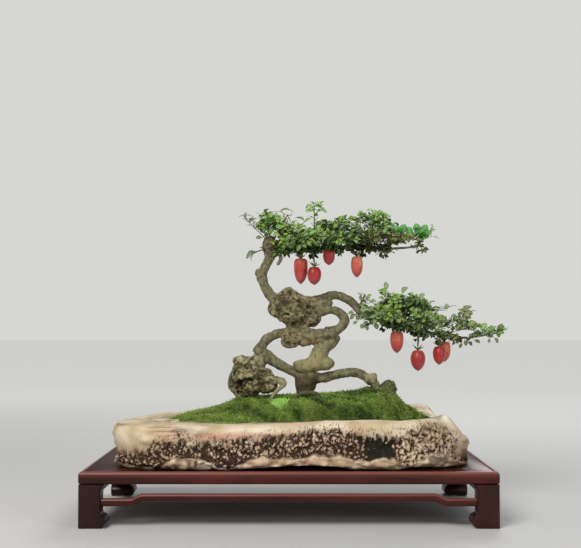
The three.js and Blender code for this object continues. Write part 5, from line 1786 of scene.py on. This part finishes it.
# %% Leaves that stand out
STANDING_OUT = {  # place, direction, length, facing the front, greyed
    "upper_spray_1": [((-47, -8, 383), (-1, 0, 0.07), 19, 0.1, 0.7)],
    "upper_spray_2": [
        ((-13, -6, 390), (0.94, 0, 0.33), 18, 0.1, 0.7), ((-38, -8, 367), (-0.7, 0, 0.72), 12, 0.12, 0.6),
        ((-31, -9, 361), (-0.7, -0.3, 0.5), 10, 0.8, 0.1), ((-26, -10, 359), (0.3, -0.4, 0.7), 10, 0.8, 0),
        ((-22, -10, 357), (0.8, -0.3, 0.3), 10, 0.7, 0), ((-35, -8, 355), (-0.85, -0.2, 0), 9, 0.6, 0.3),
        ((-29, -11, 356), (-0.2, -0.5, 0.4), 9, 0.8, 0), ((-23, -12, 351), (0.2, -0.6, -0.3), 9, 0.8, 0),
    ],
    "upper_spray_4": [((-43, -8, 337), (-0.94, -0.05, -0.34), 16, 0.5, 0.6)],
    "upper_spray_5": [
        ((21, -9, 376), (-0.85, 0, 0.5), 14, 0.2, 0.6), ((19, -10, 374), (0.7, -0.3, 0.5), 12, 0.4, 0.2),
    ],
    "upper_spray_8": [
        ((33, -4, 396), (-0.95, -0.1, 0.15), 11, 0.5, 0.3),
        ((34, -4, 396), (0.9, -0.2, 0.1), 10, 0.5, 0.3), ((33, -3, 397), (-0.4, -0.2, 0.6), 8, 0.4, 0.2),
        ((34, -3, 397), (0.4, -0.2, 0.6), 8, 0.5, 0.2), ((32, -5, 391), (-0.85, -0.4, -0.1), 12, 0.5, 0.2),
        ((37, -5, 392), (0.9, -0.4, 0), 13, 0.4, 0.5),
    ],
    "upper_spray_15": [
        ((144, -12, 359), (-0.5, -0.1, 0.85), 14, 0.8, 0),
        ((145, -12, 359), (0.45, -0.2, 0.85), 15, 0.8, 0), ((144, -13, 359), (0, -0.6, 0.5), 13, 0.8, 0),
        ((143, -13, 360), (-0.9, -0.2, 0.3), 10, 0.7, 0),
    ],
    "upper_spray_17": [
        ((162, -9, 359), (-0.6, -0.1, 0.7), 13, 0.8, 0), ((168, -9, 359), (-0.1, -0.2, 0.95), 15, 0.8, 0),
        ((173, -9, 359), (0.5, -0.2, 0.85), 15, 0.8, 0), ((170, -10, 359), (0.2, -0.7, 0.3), 13, 0.7, 0),
        ((175, -9, 359), (0.85, -0.2, 0.3), 12, 0.7, 0), ((185, -5, 362), (0.7, 0, 0.7), 11, 0.2, 0.5),
        ((188, -5, 356), (0.95, 0, 0.1), 9, 0.3, 0.5),
    ],
    "lower_spray_1": [
        ((97, -8, 270), (-0.4, -0.1, 0.9), 7, 0.6, 0.6), ((104, -8, 268), (0.7, -0.1, 0.6), 8, 0.3, 0.7),
        ((99, -8, 266), (-0.8, -0.2, 0.3), 7, 0.5, 0.6), ((90, -8, 252), (-0.9, -0.2, 0.1), 9, 0.3, 0.6),
        ((90, -9, 246), (-0.7, -0.3, -0.5), 8, 0.4, 0.6), ((97, -8, 243), (-0.3, -0.3, -0.8), 8, 0.5, 0.5),
        ((101, -8, 240), (0.2, -0.3, -0.9), 7, 0.5, 0.5), ((103, -8, 262), (0.8, -0.1, 0.4), 7, 0.4, 0.6),
    ],
    "lower_spray_2": [
        ((127.5, -7, 286), (-0.05, -0.1, 1), 11, 0.8, 0.7),
        ((125, -8, 273), (-0.8, -0.2, 0.4), 9, 0.5, 0.5),
    ],
    "lower_spray_3": [((112, -9, 244), (0.3, -0.3, -0.8), 10, 0.7, 0.5)],
    "lower_spray_5": [
        ((148, -8, 280), (0.55, -0.1, 0.85), 13, 0.35, 0.7), ((160, -8, 275), (0.1, -0.3, 0.9), 9, 0.8, 0),
    ],
    "lower_spray_7": [
        ((170, -8, 274), (0.65, -0.1, 0.75), 11, 0.45, 0.7),
        ((205, -7, 262), (-0.97, -0.1, 0.22), 14, 0.1, 0.7),
        ((206, -7, 262), (0.93, -0.1, 0.3), 15, 0.1, 0.7), ((206, -7, 260), (0, -0.3, 0.95), 9, 0.7, 0.5),
    ],
    "lower_spray_8": [
        ((227, -7, 256), (0.6, -0.1, 0.8), 15, 0.4, 0.7),
        ((228, -8, 250), (0.75, -0.2, 0.6), 14, 0.7, 0.4), ((226, -9, 238), (0.1, -0.3, 0.9), 12, 0.8, 0),
        ((232, -9, 239), (0.8, -0.3, 0.45), 13, 0.7, 0), ((244, -9, 235), (-0.3, -0.3, 0.9), 11, 0.8, 0),
        ((250, -8, 234), (0.6, -0.2, 0.7), 12, 0.8, 0), ((256, -7, 233), (0.9, -0.2, 0.25), 10, 0.7, 0),
        ((222, -9, 222), (-0.5, -0.3, -0.6), 7, 0.6, 0.2),
        ((229, -10, 221), (0.2, -0.3, -0.8), 8, 0.7, 0.3),
        ((241, -9, 221), (0.8, -0.2, -0.3), 9, 0.5, 0.1), ((233, -9, 219), (0.6, -0.3, -0.5), 8, 0.6, 0.1),
        ((226, -9, 217), (-0.4, -0.3, -0.6), 7, 0.6, 0.2),
    ],
    "lower_spray_9": [
        ((267, -5, 230), (-0.25, -0.2, 0.9), 11, 0.8, 0),
        ((275, -4, 229), (0.3, -0.1, 0.95), 14, 0.8, 0.1), ((272, -6, 229), (0.9, -0.2, 0.2), 10, 0.6, 0),
        ((262, -6, 223), (-0.1, -0.2, -0.9), 6, 0.6, 0.6),
        ((268, -6, 224), (0.75, -0.1, -0.65), 9, 0.6, 0.6),
    ],
}


def standing_out(name, spray, branch):
    """Twigs and leaves of a spray that stand clear of its pad, and how grey each leaf is."""
    shoot = np.array([shoot_at(spray, t)[0] for t in np.linspace(0.1, 1, 30)])
    starts = np.concatenate([shoot, branch])
    twigs, found, grey = [], [], []
    for place, along, long, front, greyed in STANDING_OUT.get(name, []):
        place, along = np.array(place, float), unit(along)
        start = starts[np.argmin(np.linalg.norm(starts - place, axis=1))]
        bend = (start + place) / 2 + (0, 0, 1)
        twigs.append([bent(start, bend, place, t) for t in np.linspace(0, 1, 5)])
        face = np.array((0, -front, 1 - front))
        found.append((place, along, unit(face - along * (face @ along)), long))
        grey.append(greyed)
    return twigs, found, grey


# %% [markdown]
# ### One leaf
#
# The leaf is small and rhombic: widest a little beyond the middle, drawn into a short stalk, with a blunt
# tip. It is a thin closed shell of a few dozen faces, because there are thousands of them. Three forms
# are made, from nearly flat to folded along the midrib with its tip rolled down. A stored number for the
# way along and across lets the finish draw midrib and side veins.

# %% Leaf blades
BLADE = np.array([(0, 0.035), (0.09, 0.06), (0.3, 0.66), (0.56, 1), (0.82, 0.76), (1, 0.08)])
ACROSS = np.array((-1, -0.5, 0, 0.5, 1))


def blade(name, wide, fold, curl, wave):
    rings, keys = [], []
    for t, share in BLADE:
        half = wide / 2 * share
        lift = fold * np.abs(ACROSS) * half + wave * half * np.sin(9 * t + 2 * ACROSS) * np.abs(ACROSS)
        z = lift + 0.3 * t - curl * t**2 - 0.1 * t**3
        thick = 0.018 * (1 - 0.6 * np.abs(ACROSS))
        above = np.stack([np.full(5, t), ACROSS * half, z + thick], axis=1)
        below = np.stack([np.full(3, t), ACROSS[3:0:-1] * half, z[3:0:-1] - thick[3:0:-1]], axis=1)
        rings.append(np.concatenate([above, below]))
        keys.append(np.concatenate([ACROSS, ACROSS[3:0:-1]]))
    points, faces = skin(rings)
    mesh = bpy.data.meshes.new(name)
    mesh.from_pydata(points, [], faces)
    mesh.shade_smooth()
    holder = bpy.data.objects.new(name, mesh)
    store(holder, "blade_along", np.repeat(BLADE[:, 0], 8))
    store(holder, "blade_across", np.concatenate(keys))
    return holder


BLADES = {
    "Flat": blade("leaf_flat", 0.7, 0.12, 0.3, 0.0),
    "Folded": blade("leaf_folded", 0.68, 0.5, 0.36, 0.12),
    "Rolled": blade("leaf_rolled", 0.62, 0.22, 0.6, 0.25),
}
print("a leaf has", len(BLADES["Flat"].data.polygons), "faces")

# %% Leaf finish
leafy = Finish("small_satin_leaves", 0.5, Specular_IOR_Level=0.3)
leafy.see_into(0.12, 0.0012, 0.002, 0.0004)
wide_off = leafy.maths("ABSOLUTE", "blade_across")
leaf_green = leafy.layers(
    leafy.blend("tone", (32, 58, 28), (156, 194, 104)),
    ("emerald", (88, 166, 84)),
    ("yellow", (158, 178, 74)),
    ("greyed", (150, 166, 130)),
    ("dry", (112, 96, 54)),
    (leafy.ranged(leafy.noise(220, 4), 0.4, 0.7, 0, 0.3), (54, 86, 42)),
    (leafy.ranged(wide_off, 0.0, 0.14, 0.5, 0), (170, 196, 120)),
)
leafy.colour(leaf_green)
vein_line = leafy.maths("SINE", leafy.plus(leafy.times("blade_along", 46.0), leafy.times(wide_off, -14.0)))
leafy.relief(leafy.plus(leafy.times(vein_line, 0.25), leafy.ranged(wide_off, 0, 0.2, 0, 1)), 0.12, 0.8)
twig_bark = Finish("young_twig_bark", 0.8, Specular_IOR_Level=0.2)
twig_tone = twig_bark.noise(400, 3)
twig_bark.colour(twig_bark.blend(twig_tone, (84, 78, 54), (140, 132, 100)))
twig_bark.relief(twig_tone, 0.3)

# %% [markdown]
# ### Spray tree
#
# One Geometry Nodes tree makes every spray from a carrier: lines for the shoots and twigs, and loose
# points for the leaves. The lines become tapered round shoots. At each leaf point one of the three blades
# is placed, with its midrib and face turned to the two directions stored there, and scaled to its length.

# %% Spray tree
def leafy_sprays():
    sizes = {"Thickness": float, "Leaf": bpy.types.Material, "Twig": bpy.types.Material}
    tree, given = new_tree("leafy_spray", **sizes, **{form: bpy.types.Object for form in BLADES})
    thick = {0: named(tree, "thick"), 1: given["Thickness"]}
    shoots = {
        "Curve": add(tree, "GeometryNodeMeshToCurve", {"Mesh": given["Geometry"]}),
        "Profile Curve": add(tree, "GeometryNodeCurvePrimitiveCircle", {"Resolution": 6, "Radius": 0.001}),
        "Scale": add(tree, "ShaderNodeMath", thick, operation="MULTIPLY"),
        "Fill Caps": True,
    }
    shoots = coated(tree, add(tree, "GeometryNodeCurveToMesh", shoots), given["Twig"])
    forms = add(tree, "GeometryNodeJoinGeometry")
    for form in reversed(BLADES):
        held = add(tree, "GeometryNodeObjectInfo", {"Object": given[form], "As Instance": True})
        tree.links.new(held.outputs["Geometry"], forms.inputs["Geometry"])
    ways = {"Primary": named(tree, "face", "FLOAT_VECTOR"), "Secondary": named(tree, "along", "FLOAT_VECTOR")}
    ways = {f"{way} Axis": direction for way, direction in ways.items()}
    leaves = {
        "Points": given["Geometry"],
        "Selection": named(tree, "is_leaf", "BOOLEAN"),
        "Instance": forms,
        "Pick Instance": True,
        "Instance Index": named(tree, "form", "INT"),
        "Rotation": add(tree, "FunctionNodeAxesToRotation", ways, primary_axis="Z", secondary_axis="X"),
        "Scale": named(tree, "long"),
    }
    leaves = coated(tree, add(tree, "GeometryNodeInstanceOnPoints", leaves), given["Leaf"])
    both = add(tree, "GeometryNodeJoinGeometry")
    for some in (leaves, shoots):
        tree.links.new(some.outputs["Geometry"], both.inputs["Geometry"])
    ends_in(tree, both)
    return tree


spray_tree = leafy_sprays()

# %% [markdown]
# ### The sprays themselves
#
# Each large leaf of the source becomes a twig with three small leaves, or a mere bud near a bare tip. The
# tone of a leaf comes from where it grows, over a random share. High outer leaves are painted bright, as
# painted light, and those below dark, as painted shade. A few by the crown have turned yellow, a patch on
# the lower pad is painted yellow-green as painted light, the right end of the upper pad is emerald young
# growth, and under it sit brownish old leaves.

# %% Fullness of the sprays
UPPER_BRANCH, LOWER_BRANCH = (flowing(LIMBS[k], 2)[:, :3] for k in (UPPER_LIMB, LOWER_LIMB))
USUAL_FILL = (20, 9)
SPRAY_FILL = {  # side twigs and low twigs of the thinner sprays
    "upper_spray_1": (2, 0), "upper_spray_3": (12, 9), "upper_spray_4": (0, 0), "upper_spray_8": (0, 8),
    "upper_spray_15": (13, 6), "upper_spray_16": (12, 5), "upper_spray_17": (10, 4), "lower_spray_1": (4, 0),
    "lower_spray_7": (15, 14), "lower_spray_8": (10, 16), "lower_spray_9": (4, 5),
}
BUDS = {  # heights between which the source's leaves are buds here
    "upper_spray_1": (350, 400), "upper_spray_3": (372, 400), "upper_spray_4": (300, 400),
    "upper_spray_8": (300, 385), "upper_spray_17": (300, 400), "lower_spray_9": (200, 260),
}
SLENDER, TREE_TOP = 0.55, 404
ON_SIDE_TWIG, ON_LOW_TWIG = (8, 8.6), (6, 7.5)  # how many leaves, and their length

# %% Tone of each leaf
def leaf_tones(places):
    x, y, z = np.asarray(places).T
    upper = z > 300
    low, high = np.where(upper, span(UPPER_PAD, x), span(LOWER_PAD, x))
    up = np.clip((z - low) / (high - low), 0, 1)
    many = chance.random((5, len(x)))
    # painted light and shade: brighter high in the pad, darker low, over a random tone
    tone = np.clip(0.12 + 0.62 * up + 0.6 * (many[0] - 0.5) + 0.25 * cloud(places, 24, 200), 0, 1)
    emerald = within(x, 135, 180, 3) * upper * ease(z, 355, 358.5) + ease(x, 268, 273) * ease(z, 229, 232)
    yellow = 0.75 * upper * within(x, -24, 0, 5) * within(z, 340, 358, 3) * (many[2] > 0.4)
    # painted light: a patch of the lower pad painted yellow-green
    lit = 0.55 * ~upper * within(x, 118, 152, 6) * within(z, 245, 262, 4)
    yellow = np.maximum(yellow, lit * (many[2] > 0.3))
    greyed = np.where(upper, 0.7 * (x < -48), 0.55 * (x < 114) + 0.6 * within(x, 204, 244, 4) * (z > 238))
    greyed = np.maximum(greyed, 0.6 * (many[3] > 0.93))
    dry_top = np.interp(x, (90, 116, 134, 150), (356, 366, 366, 358))
    dry = 0.7 * upper * within(x, 97, 186, 10) * ease(dry_top - z, 0, 8) * (many[4] > 0.35)
    dry += 0.5 * ~upper * within(x, 192, 244, 6) * (many[4] > 0.3)
    emerald = 0.85 * np.clip(emerald * (many[1] > 0.2), 0, 1)
    return {"tone": tone, "emerald": emerald, "yellow": yellow, "greyed": greyed, "dry": dry}


# %% One spray
def lesser_leaves(name, leaf):
    """A twig with three finer leaves, where the source has one large leaf. Slim ones are mere buds."""
    place, along, face, long = leaf
    across, found = np.cross(face, along), []
    lowest, highest = BUDS.get(name, (0, 0))
    slim = 0.45 if lowest < place[2] < highest else 1
    for t, turn, share in ((0.04, 0.6, 0.56), (0.2, -0.6, 0.58), (0.4, 0.1, 0.58)):
        way = unit(along * math.cos(turn) + across * math.sin(turn))
        tilted = face + chance.uniform(-0.4, 0.4, 3)
        start = place + along * t * long
        size = min(share * slim * long, (TREE_TOP - start[2]) / max(way[2], 0.01))
        found.append((start, way, unit(tilted - way * (tilted @ way)), size))
    return [place + along * t * long for t in (0, 0.2, 0.4)], found


def leafy_spray(name, spray, twig_count, low_count):
    pad, branch = (UPPER_PAD, UPPER_BRANCH) if name.startswith("upper") else (LOWER_PAD, LOWER_BRANCH)
    twigs, found = side_twigs(spray, pad, twig_count, *ON_SIDE_TWIG)
    low, low_found = low_twigs(spray, branch, low_count, *ON_LOW_TWIG)
    out, out_found, out_grey = standing_out(name, spray, branch)
    finer = [lesser_leaves(name, leaf) for leaf in source[name]]
    twigs += low + [line for line, _ in finer] + out
    found = [leaf for _, some in finer for leaf in some] + found + low_found + out_found
    places, midribs, faces, sizes = (list(values) for values in zip(*found))
    lines = [[shoot_at(spray, t)[0] for t in np.linspace(0, 1, 14)], *twigs]
    thick = [np.linspace(1.15, 0.65, 14) * (SLENDER if name == "upper_spray_1" else 1)]
    thick += [np.linspace(0.55, 0.28, len(twig)) for twig in twigs]
    edges, blank, count = [], 0, len(found)
    for line in lines:
        edges += [(blank + i, blank + i + 1) for i in range(len(line) - 1)]
        blank += len(line)
    piece = line_piece(f"{name}_leaves", [p for line in lines for p in line] + places, edges)
    store(piece, "thick", np.concatenate([*thick, np.zeros(count)]))
    store(piece, "is_leaf", [False] * blank + [True] * count, "BOOLEAN")
    store(piece, "form", [0] * blank + chance.integers(0, 3, count).tolist(), "INT")
    store(piece, "long", [0] * blank + [size / 1000 for size in sizes])
    store(piece, "along", [(1, 0, 0)] * blank + midribs, "FLOAT_VECTOR")
    store(piece, "face", [(0, 0, 1)] * blank + faces, "FLOAT_VECTOR")
    tones = leaf_tones(places)
    if out_grey:
        tones["greyed"][-len(out_grey) :] = out_grey
    for key, values in tones.items():
        store(piece, key, np.concatenate([np.zeros(blank), values]))
    run_tree(piece, spray_tree, Thickness=1.0, Leaf=leafy.material, Twig=twig_bark.material, **BLADES)
    hand_over(piece, "leaf", name)
    return count


# %% All sprays
leaf_count = 0
for name, spray in SPRAYS.items():
    leaf_count += leafy_spray(name, spray, *SPRAY_FILL.get(name, USUAL_FILL))
print(leaf_count, "leaves")
